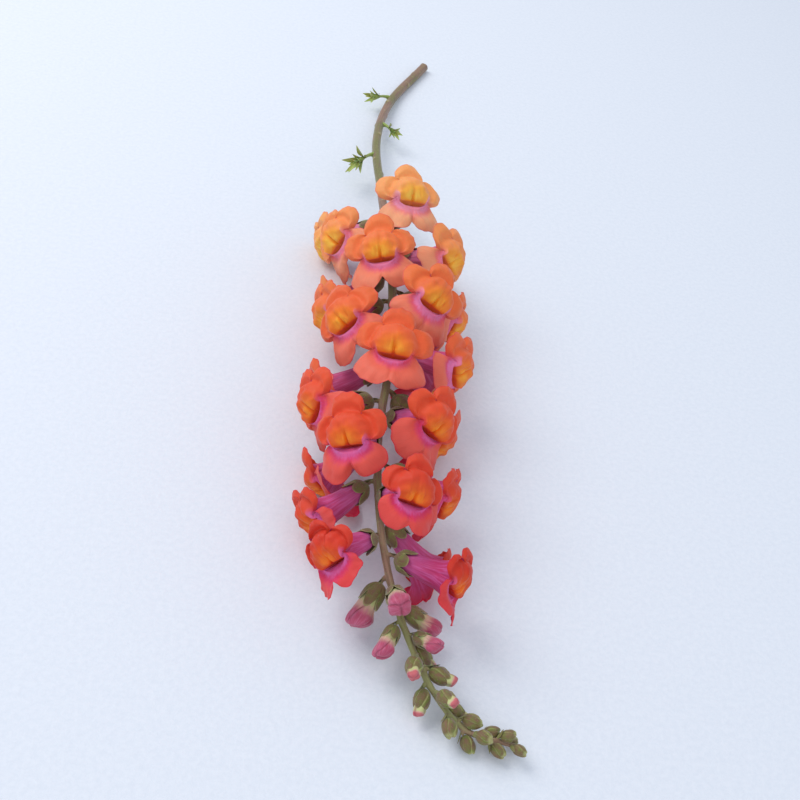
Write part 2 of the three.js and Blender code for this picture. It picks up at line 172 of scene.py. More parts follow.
def through(controls, steps, tighten=1.0):
    """Rows of points on smooth curves through controls, an array of controls by columns by xyz. steps says
    how many rows each stretch gets. The curves' slopes weigh each stretch by its length, so that they never
    overshoot. tighten above 1 draws the last stretch's rows together towards its end."""
    gaps = np.maximum(np.linalg.norm(np.diff(controls, axis=0), axis=2, keepdims=True), 1e-6)
    slopes = np.diff(controls, axis=0) / gaps
    tangents = np.empty_like(controls)
    tangents[0], tangents[-1] = slopes[0], slopes[-1]
    tangents[1:-1] = (slopes[:-1] * gaps[1:] + slopes[1:] * gaps[:-1]) / (gaps[:-1] + gaps[1:])
    rows = [controls[:1]]
    for k, count in enumerate(steps):
        t = (np.arange(1, count + 1) / count)[:, None, None]
        if k == len(steps) - 1:
            t = 1 - (1 - t) ** tighten
        start, end, reach = controls[k], controls[k + 1], gaps[k]
        rows.append(
            (2 * t**3 - 3 * t**2 + 1) * start
            + (t**3 - 2 * t**2 + t) * tangents[k] * reach
            + (3 * t**2 - 2 * t**3) * end
            + (t**3 - t**2) * tangents[k + 1] * reach
        )
    return np.concatenate(rows)


print("points on a ring of 12 columns:", len(ring(full_turn(12), 1.0, 0)))

# %% Skins and their marks
SEAM_GAP = 1e-6  # points of a skin that are closer than this, in metres, are one
NOISE_RANGE = 50  # how far apart two pieces can read the same noise, so that no two look alike


def vertex_places(mesh):
    flat = np.empty(len(mesh.vertices) * 3, np.float32)
    mesh.vertices.foreach_get("co", flat)
    return flat.reshape(-1, 3)


def move_vertices(mesh, places):
    """Moves a mesh's vertices to places in millimetres."""
    mesh.vertices.foreach_set("co", (places * MM).astype(np.float32).ravel())


def add_mark(mesh, label, values):
    """A number or a vector for each vertex, which the materials read as an attribute."""
    kind, field = ("FLOAT_VECTOR", "vector") if values.ndim == 2 else ("FLOAT", "value")
    mesh.attributes.new(label, kind, "POINT").data.foreach_set(field, values.astype(np.float32).ravel())


def vein_mark(turn, radius, along):
    """Where a piece reads its veins' noise: on a circle as it runs round, further on as it runs along."""
    return np.stack(np.broadcast_arrays(radius * np.cos(turn), radius * np.sin(turn), along), 2)


def rolled_skin(name, points, marks):
    """A closed skin through points, an array of rows by columns by xyz in millimetres. marks holds vectors
    for all the points, or numbers for all the points, for the rows, for the columns or for the whole
    skin."""
    rows, columns = points.shape[0] - 1, points.shape[1] - 1
    deselect()
    bpy.ops.mesh.primitive_grid_add(x_subdivisions=columns, y_subdivisions=rows, size=1, location=(0, 0, 0))
    piece = bpy.context.object
    piece.name = piece.data.name = name
    mesh = piece.data
    flat = vertex_places(mesh)
    column = np.rint((flat[:, 0] + 0.5) * columns).astype(int)
    row = np.rint((flat[:, 1] + 0.5) * rows).astype(int)
    move_vertices(mesh, points[row, column])
    for label, values in marks.items():
        if np.ndim(values) < 3:
            values = np.broadcast_to(values, points.shape[:2])
        add_mark(mesh, label, values[row, column])
    mesh.update()
    bpy.ops.object.mode_set(mode="EDIT")
    bpy.ops.mesh.select_all(action="SELECT")
    bpy.ops.mesh.remove_doubles(threshold=SEAM_GAP)
    bpy.ops.mesh.normals_make_consistent(inside=False)
    bpy.ops.object.mode_set(mode="OBJECT")
    bpy.ops.object.shade_smooth()
    return piece


def joined(name, pieces):
    deselect()
    for piece in pieces:
        piece.select_set(True)
    bpy.context.view_layer.objects.active = pieces[0]
    bpy.ops.object.join()
    piece = bpy.context.object
    piece.name = piece.data.name = name
    return piece


print("skins close where points are within", SEAM_GAP, "m")

# %% [markdown]
# ## Where everything grows
# The solids' own measures are repeated here: the line that the stem follows, the golden angle between one
# bud and the next, and the pitch and size of each. A bud or flower gets a frame of its own, with its origin
# at the foot of the petals, z out along them and x towards the stem's tip, in which its shape is written
# once and for all.

# %% The stem's line
MIDDLE = (-0.776, -1.726, 0)  # where the middle of the whole stem falls in the route's own x, y and z
ROUTE = np.array([
    (45, -267, 4.5), (21, -260, 7), (3, -231, 13), (-9, -188, 21.5), (-11, -133, 26), (-4, -70, 26.5),
    (-2, 0, 24.5), (-5, 75, 18.5), (-6, 145, 11), (5, 208, 4.4), (31, 267, 2.2),
]) - MIDDLE
TIP_RADIUS, CUT_RADIUS = 0.8, 3.0
TAPER = 0.6  # the radius grows as this power of the distance from the tip
LINE_STEPS = 400


def line_point(t):
    last = len(ROUTE) - 1
    k = min(int(last * t), last - 1)
    w = last * t - k
    before = ROUTE[k - 1] if k > 0 else 2 * ROUTE[0] - ROUTE[1]
    after = ROUTE[k + 2] if k < last - 1 else 2 * ROUTE[last] - ROUTE[last - 1]
    start, end = ROUTE[k], ROUTE[k + 1]
    leave, arrive = (end - before) / 2, (after - start) / 2
    return (
        start + leave * w + (3 * (end - start) - 2 * leave - arrive) * w**2
        + (2 * (start - end) + leave + arrive) * w**3
    )


line = np.array([line_point(i / LINE_STEPS) for i in range(LINE_STEPS + 1)])
lengths = np.concatenate([[0], np.cumsum(np.linalg.norm(np.diff(line, axis=0), axis=1))])
STEM_LENGTH = lengths[-1]


def unit(v):
    return v / np.linalg.norm(v)


def station(distance):
    """The point at a distance from the tip, with the directions to the tip, upwards and sideways there."""
    t = np.interp(distance, lengths, np.arange(LINE_STEPS + 1) / LINE_STEPS)
    to_tip = unit(line_point(max(t - 1e-4, 0)) - line_point(min(t + 1e-4, 1)))
    up = unit(np.array((0, 0, 1)) - to_tip[2] * to_tip)
    return line_point(t), to_tip, up, np.cross(to_tip, up)


def stem_radius(distance):
    return TIP_RADIUS + (CUT_RADIUS - TIP_RADIUS) * np.clip(distance / STEM_LENGTH, 0, 1) ** TAPER


print("the stem is", round(STEM_LENGTH, 1), "mm long")

# %% A seat for each bud and flower
GOLDEN_ANGLE = 137.5
FIRST_TURN = 58  # the way the first bud faces, in degrees from straight up
LOWEST_TURN = 135  # a flower that would face the table is pushed round to this far from the top
CALYX_DEPTH = 3.6  # from the foot of the calyx to the foot of the petals
PEDICEL_OUT, PEDICEL_ON = 0.8, 0.6  # the shares of its length that a pedicel runs outwards and to the tip


def turn_of(index):
    turn = ((FIRST_TURN + index * GOLDEN_ANGLE) % 360 + 540) % 360 - 180
    return math.radians(turn * (1 - (180 - LOWEST_TURN) / 180 * (abs(turn) / 180) ** 1.5))


def seat(distance, turn, pitch, size, pedicel, roll=0.0):
    """The frame of a bud or flower that leaves the stem this far from the tip. axes are its x, y and z."""
    point, to_tip, up, side = station(distance)
    pitch, roll = math.radians(pitch), math.radians(roll)
    out = up * math.cos(turn) + side * math.sin(turn)
    axis = to_tip * math.cos(pitch) + out * math.sin(pitch)
    root = point + out * stem_radius(distance)
    foot = root + (out * PEDICEL_OUT + to_tip * PEDICEL_ON) * pedicel * size
    dorsal = unit(to_tip - axis * to_tip.dot(axis))
    x = dorsal * math.cos(roll) + np.cross(axis, dorsal) * math.sin(roll)
    return {
        "at": distance, "size": size, "point": point, "to_tip": to_tip, "out": out,
        "root": root, "foot": foot, "origin": foot + axis * CALYX_DEPTH * size,
        "axes": np.array((x, np.cross(axis, x), axis)),
    }


print("the first buds face", [round(math.degrees(turn_of(i))) for i in range(3)], "degrees from the top")

# %% Buds and flowers in their order from the tip
# Pairs give a range's first and last value. Pitches are in degrees, and sizes are shares of a full one.
GREEN_BUDS, GREEN_PITCH, GREEN_SIZE, GREEN_PEDICEL = 15, (26, 44), (0.6, 1.02), 1.6
GREEN_START, GREEN_GAP, GAP_GROWTH = 3.5, 2.6, 1.07
PINK_BUDS, PINK_PITCH, PINK_SIZE, PINK_PEDICEL = 5, (44, 50), (0.66, 1.0), 2.6
PINK_START, PINK_GAP = 65, 6.6
FLORETS, FLORET_PITCH, FLORET_SIZE, FLORET_PEDICEL = 26, (56, 64), (0.92, 1.02), 3.2
FLORET_START, FLORET_GAP = 101, 9.5
LEAN, ROLL = 3.6, 7.4  # how far a flower's pitch strays, and how far it turns about its own tube, in degrees
OPENNESS, OPEN_BY = (0.35, 1), 0.3  # the flowers open over this first share of them


def sway(i, k):
    """A fixed irregularity between -1 and 1."""
    return math.sin(i * 2.4 + k * 4.75 + i * i * 0.17)


green_seats, pink_seats, floret_seats = [], [], []
distance = GREEN_START
for i in range(GREEN_BUDS):
    t = i / (GREEN_BUDS - 1)
    green_seats.append(seat(distance, turn_of(i), mix(*GREEN_PITCH, t), mix(*GREEN_SIZE, t), GREEN_PEDICEL))
    distance += GREEN_GAP * GAP_GROWTH**i
for i in range(PINK_BUDS):
    t = i / (PINK_BUDS - 1)
    turn = turn_of(GREEN_BUDS + i)
    pitch, size = mix(*PINK_PITCH, t), mix(*PINK_SIZE, t)
    pink_seats.append(seat(PINK_START + i * PINK_GAP, turn, pitch, size, PINK_PEDICEL))
for i in range(FLORETS):
    t = i / (FLORETS - 1)
    turn = turn_of(GREEN_BUDS + PINK_BUDS + i)
    pitch = mix(*FLORET_PITCH, t) + LEAN * sway(i, 1)
    size = mix(*FLORET_SIZE, smooth(0, 0.5, t))
    place = seat(FLORET_START + i * FLORET_GAP, turn, pitch, size, FLORET_PEDICEL, ROLL * sway(i, 2))
    place["openness"] = float(mix(*OPENNESS, smooth(0, OPEN_BY, t)))
    floret_seats.append(place)
all_seats = green_seats + pink_seats + floret_seats
print(len(green_seats), "green buds,", len(pink_seats), "pink buds,", len(floret_seats), "flowers")

# %% From a seat to the table
PRESS_HEIGHT = 5.0  # below this height, in mm, a petal feels the table and is bent up


def settled(place, local):
    """Points in a bud's or flower's own frame, in the frame of the whole stem."""
    return place["origin"] + local @ place["axes"] * place["size"]


def lift(z):
    """How far the table lifts a point that would be at this height."""
    low = np.maximum(z, -PRESS_HEIGHT)
    return np.where(z > PRESS_HEIGHT, 0, (low + PRESS_HEIGHT) ** 2 / (4 * PRESS_HEIGHT) - z)


def pressed(points):
    points = points.copy()
    points[..., 2] += lift(points[..., 2])
    return points


print("a point at 0 mm is lifted by", float(lift(np.array(0.0))), "mm")

# %% [markdown]
# ## Open flowers
# A snapdragon's petals are grown together into a tube, which ends in a two-lobed upper lip and a
# three-lobed lower lip. Between them a puffed palate with a furrow down its middle closes the mouth. Seen
# from the mouth the whole flower is a set of profiles, one at each angle, from the mouth over the palate
# and lip to its margin, and back down the tube. Each profile is a smooth curve through a few points, and
# ripples grow towards the margins. The back of a lip follows its front at the petal's thickness, and both
# are lifted by the same amount where the table presses them.

# %% The lips' outline
# The five lobes, each with its middle and half width in degrees and its reach in mm.
LOBES = ((-30, 46, 21.2), (30, 46, 21.2), (-112, 34, 18.8), (112, 34, 18.8), (180, 35.5, 20.4))
LOBE_ROUNDNESS, LEAST_REACH = 0.4, 8.8
FLOWER_COLUMNS = 152
# How the columns are shared out: along the outline, evenly by angle, and close to the notch and the furrow.
BY_OUTLINE, BY_ANGLE, BY_MIDDLE = 0.58, 0.25, 0.17


def lobe_rise(angle, middle, half):
    """1 on the middle of a lobe, falling to 0 at its sides."""
    off = np.abs((angle - middle + 180) % 360 - 180) / half
    return np.maximum(0, np.cos(np.minimum(off, 1) * np.pi / 2)) ** LOBE_ROUNDNESS


def lip_reach(angle, grown=(1, 1, 1, 1, 1)):
    return np.max([
        mix(LEAST_REACH, far * share, lobe_rise(angle, middle, half))
        for (middle, half, far), share in zip(LOBES, grown)
    ], axis=0)


def spread_angles():
    """Angles for the columns, closer together at the outline's corners, the notch and the furrow."""
    fine = np.linspace(0, 180, 3601)
    reach = lip_reach(fine)
    outline = np.stack([reach * np.cos(np.radians(fine)), reach * np.sin(np.radians(fine))], 1)
    run = np.concatenate([[0], np.cumsum(np.linalg.norm(np.diff(outline, axis=0), axis=1))])
    near_middle = np.cumsum(bell(180 - fine, 9) + 0.7 * bell(fine, 9))
    share = BY_OUTLINE * run / run[-1] + BY_ANGLE * fine / 180 + BY_MIDDLE * near_middle / near_middle[-1]
    half = np.interp(np.linspace(0, 1, FLOWER_COLUMNS // 2 + 1), share / share[-1], fine)
    half[0] = 0
    return np.concatenate([-half[:0:-1], half])


ANGLES = spread_angles()
TURN, FROM_TOP = np.radians(ANGLES), np.abs(ANGLES)
UPPER = 1 - smooth(70, 88, FROM_TOP)  # 1 on the upper lip, 0 on the lower one
LOWER = 1 - UPPER
BELLY = smooth(95, 180, FROM_TOP)  # 0 at the sides of the lower lip, 1 in its middle
print("columns round a flower:", len(ANGLES) - 1)


# %% Ripples, swells and creases
def ripple(angle, rng, waves, spread=3.0):
    """A smooth irregular wave round the flower, between about -1 and 1."""
    total = 0
    for _ in range(3):
        count = round(waves + rng.uniform(-spread, spread))
        total = total + np.sin(np.radians(angle) * count + rng.uniform(0, 2 * np.pi))
    return total / 2.2


def swell(x, y, rng, length):
    """A smooth irregular relief, with waves about so long, between about -1 and 1."""
    total = 0
    for _ in range(6):
        way, phase = rng.uniform(0, 2 * np.pi, 2)
        turns = 2 * np.pi / (length * rng.uniform(0.7, 1.5))
        total = total + np.sin(turns * (x * math.cos(way) + y * math.sin(way)) + phase)
    return total / 3


def creases(x, y, rng, count, middle, spread, slant, length, width):
    """Short narrow folds scattered round a middle, each up to 1 deep and turned by up to slant radians."""
    total = np.zeros_like(x)
    for _ in range(count):
        off = rng.uniform(-1, 1, 2) * spread
        way = rng.uniform(-slant, slant)
        along = (x - middle[0] - off[0]) * math.cos(way) + (y - middle[1] - off[1]) * math.sin(way)
        across = (y - middle[1] - off[1]) * math.cos(way) - (x - middle[0] - off[0]) * math.sin(way)
        total = total + rng.uniform(0.4, 1) * np.exp(-((along / length) ** 2) - (across / width) ** 2)
    return total


sample = ripple(ANGLES, np.random.default_rng(0), 6)
print("one ripple runs from", round(float(sample.min()), 2), "to", round(float(sample.max()), 2))

# %% How far the lips reach
GROWTH_RANGE = (-0.06, 0.02)  # how much a lobe's reach strays, as a share
UNOPENED_REACH = 0.7  # the reach of lips that aren't open yet, as a share
# The notch between the upper lobes: its least and greatest depth, as shares of their reach, and half width.
PARTING, PARTING_WIDTH = (0.06, 0.3), 10.0


def lip_margin(openness, rng):
    """The reach at each column: lobes a little longer or shorter, parted, uneven, with small corners."""
    grown = rng.uniform(*GROWTH_RANGE, len(LOBES))
    reach = lip_reach(ANGLES, 1 + grown) * mix(UNOPENED_REACH, 1, openness)
    parted = mix(*PARTING, (grown[0] - GROWTH_RANGE[0]) / (GROWTH_RANGE[1] - GROWTH_RANGE[0]))
    notch = parted * np.exp(-((FROM_TOP / PARTING_WIDTH) ** 1.5))
    uneven = mix(0.018, 0.032, UPPER) * ripple(ANGLES, rng, 6, 2) + 0.01 * ripple(ANGLES, rng, 27)
    corners = sum(
        rng.uniform(0.1, 1.5) * bell(ANGLES - side * rng.uniform(46, 58), rng.uniform(6, 11))
        for side in (-1, 1)
    )
    return np.maximum(LEAST_REACH, reach * (1 + uneven) * (1 - notch) + corners)


print("the lips reach", [lobe[2] for lobe in LOBES], "mm")

# %% The face's profile
# Rows from the mouth's floor to its rim, the palate's front, brow, bulge, crease, the lip's middle, margin.
FRONT_STEPS = (2, 4, 4, 7, 7, 7, 9)
FRONT_ROWS = sum(FRONT_STEPS) + 1
BACK_ROWS = sum(FRONT_STEPS[-2:]) + 1  # the back of the lips has as many rows as their front
MARGIN_TIGHTNESS = 1.8  # rows lie closer together towards the margin, to keep it crisp
# Measures in mm, with z from the foot of the petals. Pairs are for the lower lip and for the upper one.
MOUTH_FLOOR, MOUTH_HALF_WIDTH, MOUTH_SHIFT = 21, 6.2, 4.4
CREASE_RADIUS, BULGE_RADIUS, LIP_BOW = (11.4, 8.6), (9.2, 8.0), (1.5, 1.4)
NARROWEST_BLADE, NARROWEST_CREASE = 0.7, 0.6
UNOPENED_MARGIN, UNOPENED_CREASE = (3.5, 7), (1, 2.4)  # how far forward they stand before the flower is open
UPPER_MARGIN_Z, UPPER_CREASE_Z, FOLD_MARGIN, FOLD_CREASE = 28.4, 27.2, 6.4, 2.0
# These pairs are for the sides of the lower lip and for its middle.
LOWER_MARGIN_Z, LOWER_CREASE_Z, HUMP_Z = (23.0, 25.0), (25.8, 26.6), (30.0, 31.3)


def face_controls(reach, openness, rng):
    """The rings that a flower's face is drawn through, and the way that leads off its lips' backs."""
    forward = 1 - openness
    crease = np.minimum(mix(*CREASE_RADIUS, UPPER), reach - NARROWEST_BLADE)
    bulge = np.minimum(mix(*BULGE_RADIUS, UPPER), crease - NARROWEST_CREASE)
    fold = smooth(10, 66, FROM_TOP) * UPPER * rng.uniform(0.9, 1.1)
    margin_z = (
        UPPER * (UPPER_MARGIN_Z - FOLD_MARGIN * fold) + LOWER * mix(*LOWER_MARGIN_Z, BELLY)
        + forward * mix(*UNOPENED_MARGIN, UPPER)
    )
    crease_z = (
        UPPER * (UPPER_CREASE_Z - FOLD_CREASE * fold) + LOWER * mix(*LOWER_CREASE_Z, BELLY)
        + forward * mix(*UNOPENED_CREASE, UPPER)
    )
    hump = mix(*HUMP_Z, BELLY)
    cleft = bell(180 - FROM_TOP, 8)
    middle = mix(crease, reach, 0.5)
    rim = mix(0.1 + 1.3 * cleft, 1.2, UPPER)
    controls = np.stack([
        ring(TURN, 0, MOUTH_FLOOR, shift=MOUTH_SHIFT),
        ring(TURN, 0.6, mix(26.0, 24.6, UPPER), MOUTH_HALF_WIDTH, MOUTH_SHIFT),
        ring(TURN, rim, mix(28.6, 25.9, UPPER), mix(6.9, 6.6, UPPER), MOUTH_SHIFT),
        ring(TURN, mix(3.4, 2.6, UPPER), mix(hump, 26.9, UPPER), mix(7.4, 7.2, UPPER), mix(3.4, 4.0, UPPER)),
        ring(TURN, mix(bulge, 4.9, UPPER), mix(hump - 0.9, 27.5, UPPER), bulge, 2.4 * UPPER),
        ring(TURN, crease, crease_z + 0.3 * UPPER, shift=UPPER),
        ring(TURN, middle, mix(crease_z, margin_z, 0.5) + mix(*LIP_BOW, UPPER), shift=UPPER),
        ring(TURN, reach, margin_z, shift=UPPER),
    ])
    run = np.hypot(reach - crease, margin_z - crease_z)
    slope = (margin_z - crease_z) / run
    return controls, np.stack([slope * np.cos(TURN), slope * np.sin(TURN), (crease - reach) / run], 1)


def lip_shares():
    """How far out on its lip each row of the face lies, from 0 at the crease to 1 at the margin."""
    middle_rows, margin_rows = FRONT_STEPS[-2:]
    share = np.zeros((FRONT_ROWS, 1))
    share[-BACK_ROWS:-margin_rows, 0] = np.linspace(0, 0.5, middle_rows + 1)
    share[-margin_rows - 1:, 0] = 1 - 0.5 * (1 - np.linspace(0, 1, margin_rows + 1)) ** MARGIN_TIGHTNESS
    return share


LIP = lip_shares()
print("rows on a flower's face:", FRONT_ROWS, "of which on its lips:", BACK_ROWS)

# %% Bends and ripples of the lips
CURL_BACK = (-3.0, -3.0, -1.9, -1.9, -1.9)  # how far each lobe's margin can bend back, in mm,
CURL_FORWARD = (1.3, 1.3, 0.8, 0.8, 0.8)  # and how far forward


def bend_lips(front, rng):
    """Curls each lobe, folds a corner, ripples the lips and rolls them back, most at their margins."""
    rises = np.stack([lobe_rise(ANGLES, middle, half) ** 2 for middle, half, _ in LOBES])
    curls = rng.uniform(CURL_BACK, CURL_FORWARD)
    curl = (curls[:, None] * rises).sum(axis=0) / np.maximum(1, rises.sum(axis=0))
    rolled = np.clip(0.2 + 0.9 * ripple(ANGLES, rng, 4, 2), 0, 1.4)
    corner = rng.choice((-1, 1)) * rng.uniform(34, 66)
    folded = bell(ANGLES - corner, rng.uniform(7, 12)) * rng.uniform(0.5, 3.2)
    waves = mix(0.45, 0.8, UPPER) * ripple(ANGLES, rng, 7) + 0.7 * UPPER * ripple(ANGLES, rng, 3, 1)
    frill = ripple(ANGLES, rng, 22, 6)
    front[..., 2] += (
        LIP**1.35 * curl
        - LIP**2 * folded
        + LIP**1.5 * waves
        + LIP**3 * 0.28 * frill
        - LIP**6 * rolled * mix(0.8, 1.1, UPPER)
    )


print("a margin bends by", min(CURL_BACK), "to", max(CURL_FORWARD), "mm")

# %% Relief of the palate
HUMP_AT, HUMP_WIDTH, HUMP_LENGTH, HUMP_HEIGHT = 4.2, 3.3, 5, 0.8  # the two puffed humps beside the furrow
FURROW_WIDTH, FURROW_DEPTH = 0.65, 1.5
PLEAT_WIDTH, PLEAT_DEPTH = 1.0, 0.9  # the fold that runs from the mouth towards the upper lip's notch


def shape_palate(front, rng):
    """Gives the palate humps, folds and a furrow, and the upper lip a pleat. Returns where the furrow and
    folds lie, which the finish darkens as painted shade.
    """
    x, y = front[..., 0], front[..., 1]
    inner = smooth(0, FRONT_STEPS[0] + 1, np.arange(FRONT_ROWS))[:, None]
    on_palate = LOWER * inner * smooth(4.6, 2.2, x) * (1 - smooth(9.5, 13.5, np.hypot(x, y)))
    lean, larger = rng.uniform(-0.16, 0.16), rng.uniform(-0.3, 0.3)
    from_furrow = y - lean * (x - 4)
    humps = bell(np.abs(from_furrow) - HUMP_AT, HUMP_WIDTH) * bell(x + 2, HUMP_LENGTH)
    furrow = bell(from_furrow, FURROW_WIDTH) * smooth(-4, 3, x) * inner * LOWER * rng.uniform(0.6, 1.1)
    folds = creases(
        x, y, rng, count=4, middle=(-1.0, 0), spread=(4.0, 6.5), slant=0.9, length=2.2, width=0.8)
    folds = folds + 2.6 * creases(
        x, y, rng, count=4, middle=(1.5, 0), spread=(1.5, 4.4), slant=0.5, length=2.8, width=0.55)
    puffed = HUMP_HEIGHT * humps * (1 + larger * np.sign(from_furrow))
    front[..., 2] += (
        on_palate * (puffed + 0.5 * swell(x, y, rng, 5) - 0.24 * folds)
        - FURROW_DEPTH * furrow
        + 0.18 * LIP * swell(x, y, rng, 3.4)
    )
    pleat = bell(y, PLEAT_WIDTH) * UPPER * smooth(8, 12, x)
    wings = creases(x, y, rng, count=6, middle=(14, 0), spread=(4, 11), slant=0.6, length=4.5, width=0.8)
    front[..., 2] -= (PLEAT_DEPTH * pleat + 0.3 * UPPER * wings) * (1 - LIP**4)
    return np.clip(furrow + 0.3 * on_palate * folds, 0, 1)


print("the furrow is up to", round(FURROW_DEPTH * 1.1, 2), "mm deep")

# %% The lips' backs and the tube
TUBE_STEPS = (4, 5, 5, 3, 3)  # rows from the back of the crease to the throat, neck, tube, base and foot
TUBE_ROWS = sum(TUBE_STEPS)
MARGIN_THICKNESS, ROOT_THICKNESS = 0.22, 1.0
RIBS, RIB_DEPTH = 12, 0.018  # the tube's ribs: how many, and how high as a share of its radius


def back_points(front, away):
    """The back of the lips, from the margin in to the crease, at the petal's thickness from their front."""
    thickness = mix(ROOT_THICKNESS, MARGIN_THICKNESS, smooth(0, 0.35, LIP[-BACK_ROWS:]))[..., None]
    return (front[-BACK_ROWS:] + thickness * away)[::-1]


def tube_points(crease_back):
    ribbed = 1 + RIB_DEPTH * np.cos(RIBS * TURN)
    return through(np.stack([
        crease_back,
        ring(TURN, mix(7.5, 6.8, UPPER), 20.5),
        ring(TURN, mix(5.6, 5.7, BELLY) * ribbed, 13),
        ring(TURN, (4.5 + 0.6 * BELLY) * ribbed, 6.5),
        ring(TURN, 3.6, 1.8),
        ring(TURN, 0, 0),
    ]), TUBE_STEPS)[1:]


print("rows down a flower's back:", BACK_ROWS, "and its tube:", TUBE_ROWS)

# %% Marks on a flower
VEIN_RADIUS, VEIN_RUN = 11.0, 0.14
TUBE_BLEND = 8  # rows over which the lips' backs pass into the tube


def on_face(values):
    """Values for the face alone, with 0 for all that is behind it."""
    return np.concatenate([values, np.zeros((BACK_ROWS + TUBE_ROWS, len(ANGLES)))])


def in_rows(*stretches):
    """One value for each row, from stretches of them that follow each other."""
    return np.concatenate(stretches)[:, None]


def flower_marks(front, crease_shade, rng):
    """What the petals' paint needs to know of each point."""
    x, y = front[..., 0], front[..., 1]
    lip = LIP[:, 0]
    along = in_rows(
        np.linspace(0, 1, FRONT_ROWS), np.linspace(1, 0.4, BACK_ROWS), np.linspace(0.4, -1, TUBE_ROWS))
    from_middle = np.hypot(x - 1, y) * rng.uniform(0.9, 1.2)
    palate_starts = FRONT_STEPS[0] + 1
    shown = smooth(palate_starts, palate_starts + FRONT_STEPS[1] + 1, np.arange(FRONT_ROWS))[:, None]
    golden = np.exp(-(((x - 2.8) / 6.6) ** 2) - (y / 7.5) ** 2)
    beside_mouth = smooth(12, 50, FROM_TOP) * (1 - smooth(86, 106, FROM_TOP))
    return {
        "lip": in_rows(lip, lip[-BACK_ROWS:][::-1], np.zeros(TUBE_ROWS)),
        "outside": in_rows(np.zeros(FRONT_ROWS), np.ones(BACK_ROWS + TUBE_ROWS)),
        "tube": in_rows(
            np.zeros(FRONT_ROWS + BACK_ROWS - TUBE_BLEND), np.linspace(0, 1, TUBE_BLEND), np.ones(TUBE_ROWS)),
        "base": np.clip(-along, 0, 1),
        "upper": UPPER,
        "gold": on_face(LOWER * shown * golden),
        "throat": on_face(1 - smooth(6.0, 16.0, from_middle)),
        "cheek": on_face((1 - smooth(6.5, 11.5, from_middle)) * beside_mouth),
        # the crease mark lets painted shade into the palate's furrow and folds
        "crease": on_face(crease_shade),
        "vein": vein_mark(TURN, VEIN_RADIUS, along / VEIN_RUN),
    }


print("rows in a whole flower:", FRONT_ROWS + BACK_ROWS + TUBE_ROWS)

# %% One whole flower
LIP_FRONT, LIP_BACK = slice(FRONT_ROWS - BACK_ROWS, FRONT_ROWS), slice(FRONT_ROWS, FRONT_ROWS + BACK_ROWS)


def flower_points(openness, rng):
    """A flower's points from the mouth's floor over its face, back under its lips and down its tube."""
    controls, away = face_controls(lip_margin(openness, rng), openness, rng)
    front = through(controls, FRONT_STEPS, MARGIN_TIGHTNESS)
    bend_lips(front, rng)
    crease_shade = shape_palate(front, rng)
    lip_back = back_points(front, away)
    points = np.concatenate([front, lip_back, tube_points(lip_back[-1])])
    return points, flower_marks(front, crease_shade, rng)


def pressed_flower(points):
    """Lifts a flower off the table. The front and back of a lip rise together, and the rest by itself."""
    points = points.copy()
    z = points[..., 2]
    rise = lift(z)
    twin = np.minimum(z[LIP_FRONT], z[LIP_BACK][::-1])
    share = smooth(0, 0.3, np.linspace(0, 1, BACK_ROWS))[:, None]
    rise[LIP_FRONT] = mix(rise[LIP_FRONT], lift(twin), share)
    rise[LIP_BACK] = mix(rise[LIP_BACK][::-1], lift(twin), share)[::-1]
    z += rise
    return points


print("the lips' fronts and backs are rows", LIP_FRONT.start, "to", LIP_BACK.stop - 1)

# %% The 26 flowers
SLOT_OF = ("petal_red",) * 9 + ("petal_coral",) * 9 + ("petal_apricot",) * 8
AGE_STRAY = 0.12
flowers = []
for i, place in enumerate(floret_seats):
    rng = np.random.default_rng(100 + i)
    points, marks = flower_points(place["openness"], rng)
    slot_start = SLOT_OF.index(SLOT_OF[i])
    age = (i - slot_start + 0.5) / SLOT_OF.count(SLOT_OF[i])
    marks["age"] = age + rng.uniform(-AGE_STRAY, AGE_STRAY)
    marks["vein"] = marks["vein"] + rng.uniform(0, NOISE_RANGE, 3)
    flower = rolled_skin(f"flower_{i + 1:02d}", pressed_flower(settled(place, points)), marks)
    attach(flower, "root")
    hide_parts(f"floret_{i + 1:02d}")
    flowers.append(flower)
print("flowers:", len(flowers), "faces in one:", len(flowers[0].data.polygons))

# %% [markdown]
# ## Pink buds
# The five buds next to the open flowers already show their petals, with the lips still folded over each
# other into a blunt head. Each is a rolled skin as well: a round tube that swells into a squarish head, cut
# off at a slant. A flat plane laid across the head says where the upper lip ends on the lower one, and
# another where its two lobes meet. The skin is let in along both, and behind the first.

# %% A pink bud's points
BUD_COLUMNS = 84
BUD_PROFILE = (  # radius and height of each ring, in mm
    (0, 0.2), (1.9, 0.4), (3.2, 1.8), (3.8, 4.6), (4.1, 7.6),
    (4.6, 10.4), (4.8, 13.0), (4.3, 15.0), (2.8, 16.5), (0, 17.0),
)
BUD_STEPS = (2, 4, 6, 5, 6, 6, 5, 5, 5)
BUD_TOP = BUD_PROFILE[-1][1]
SQUARENESS = 3.4  # 2 would make the head round
HEAD_SLANT = 0.42  # how steeply the head and the upper lip's edge run down
LIP_STEP, LAP_DEPTH, SEAM_DEPTH = 0.5, 0.4, 0.6


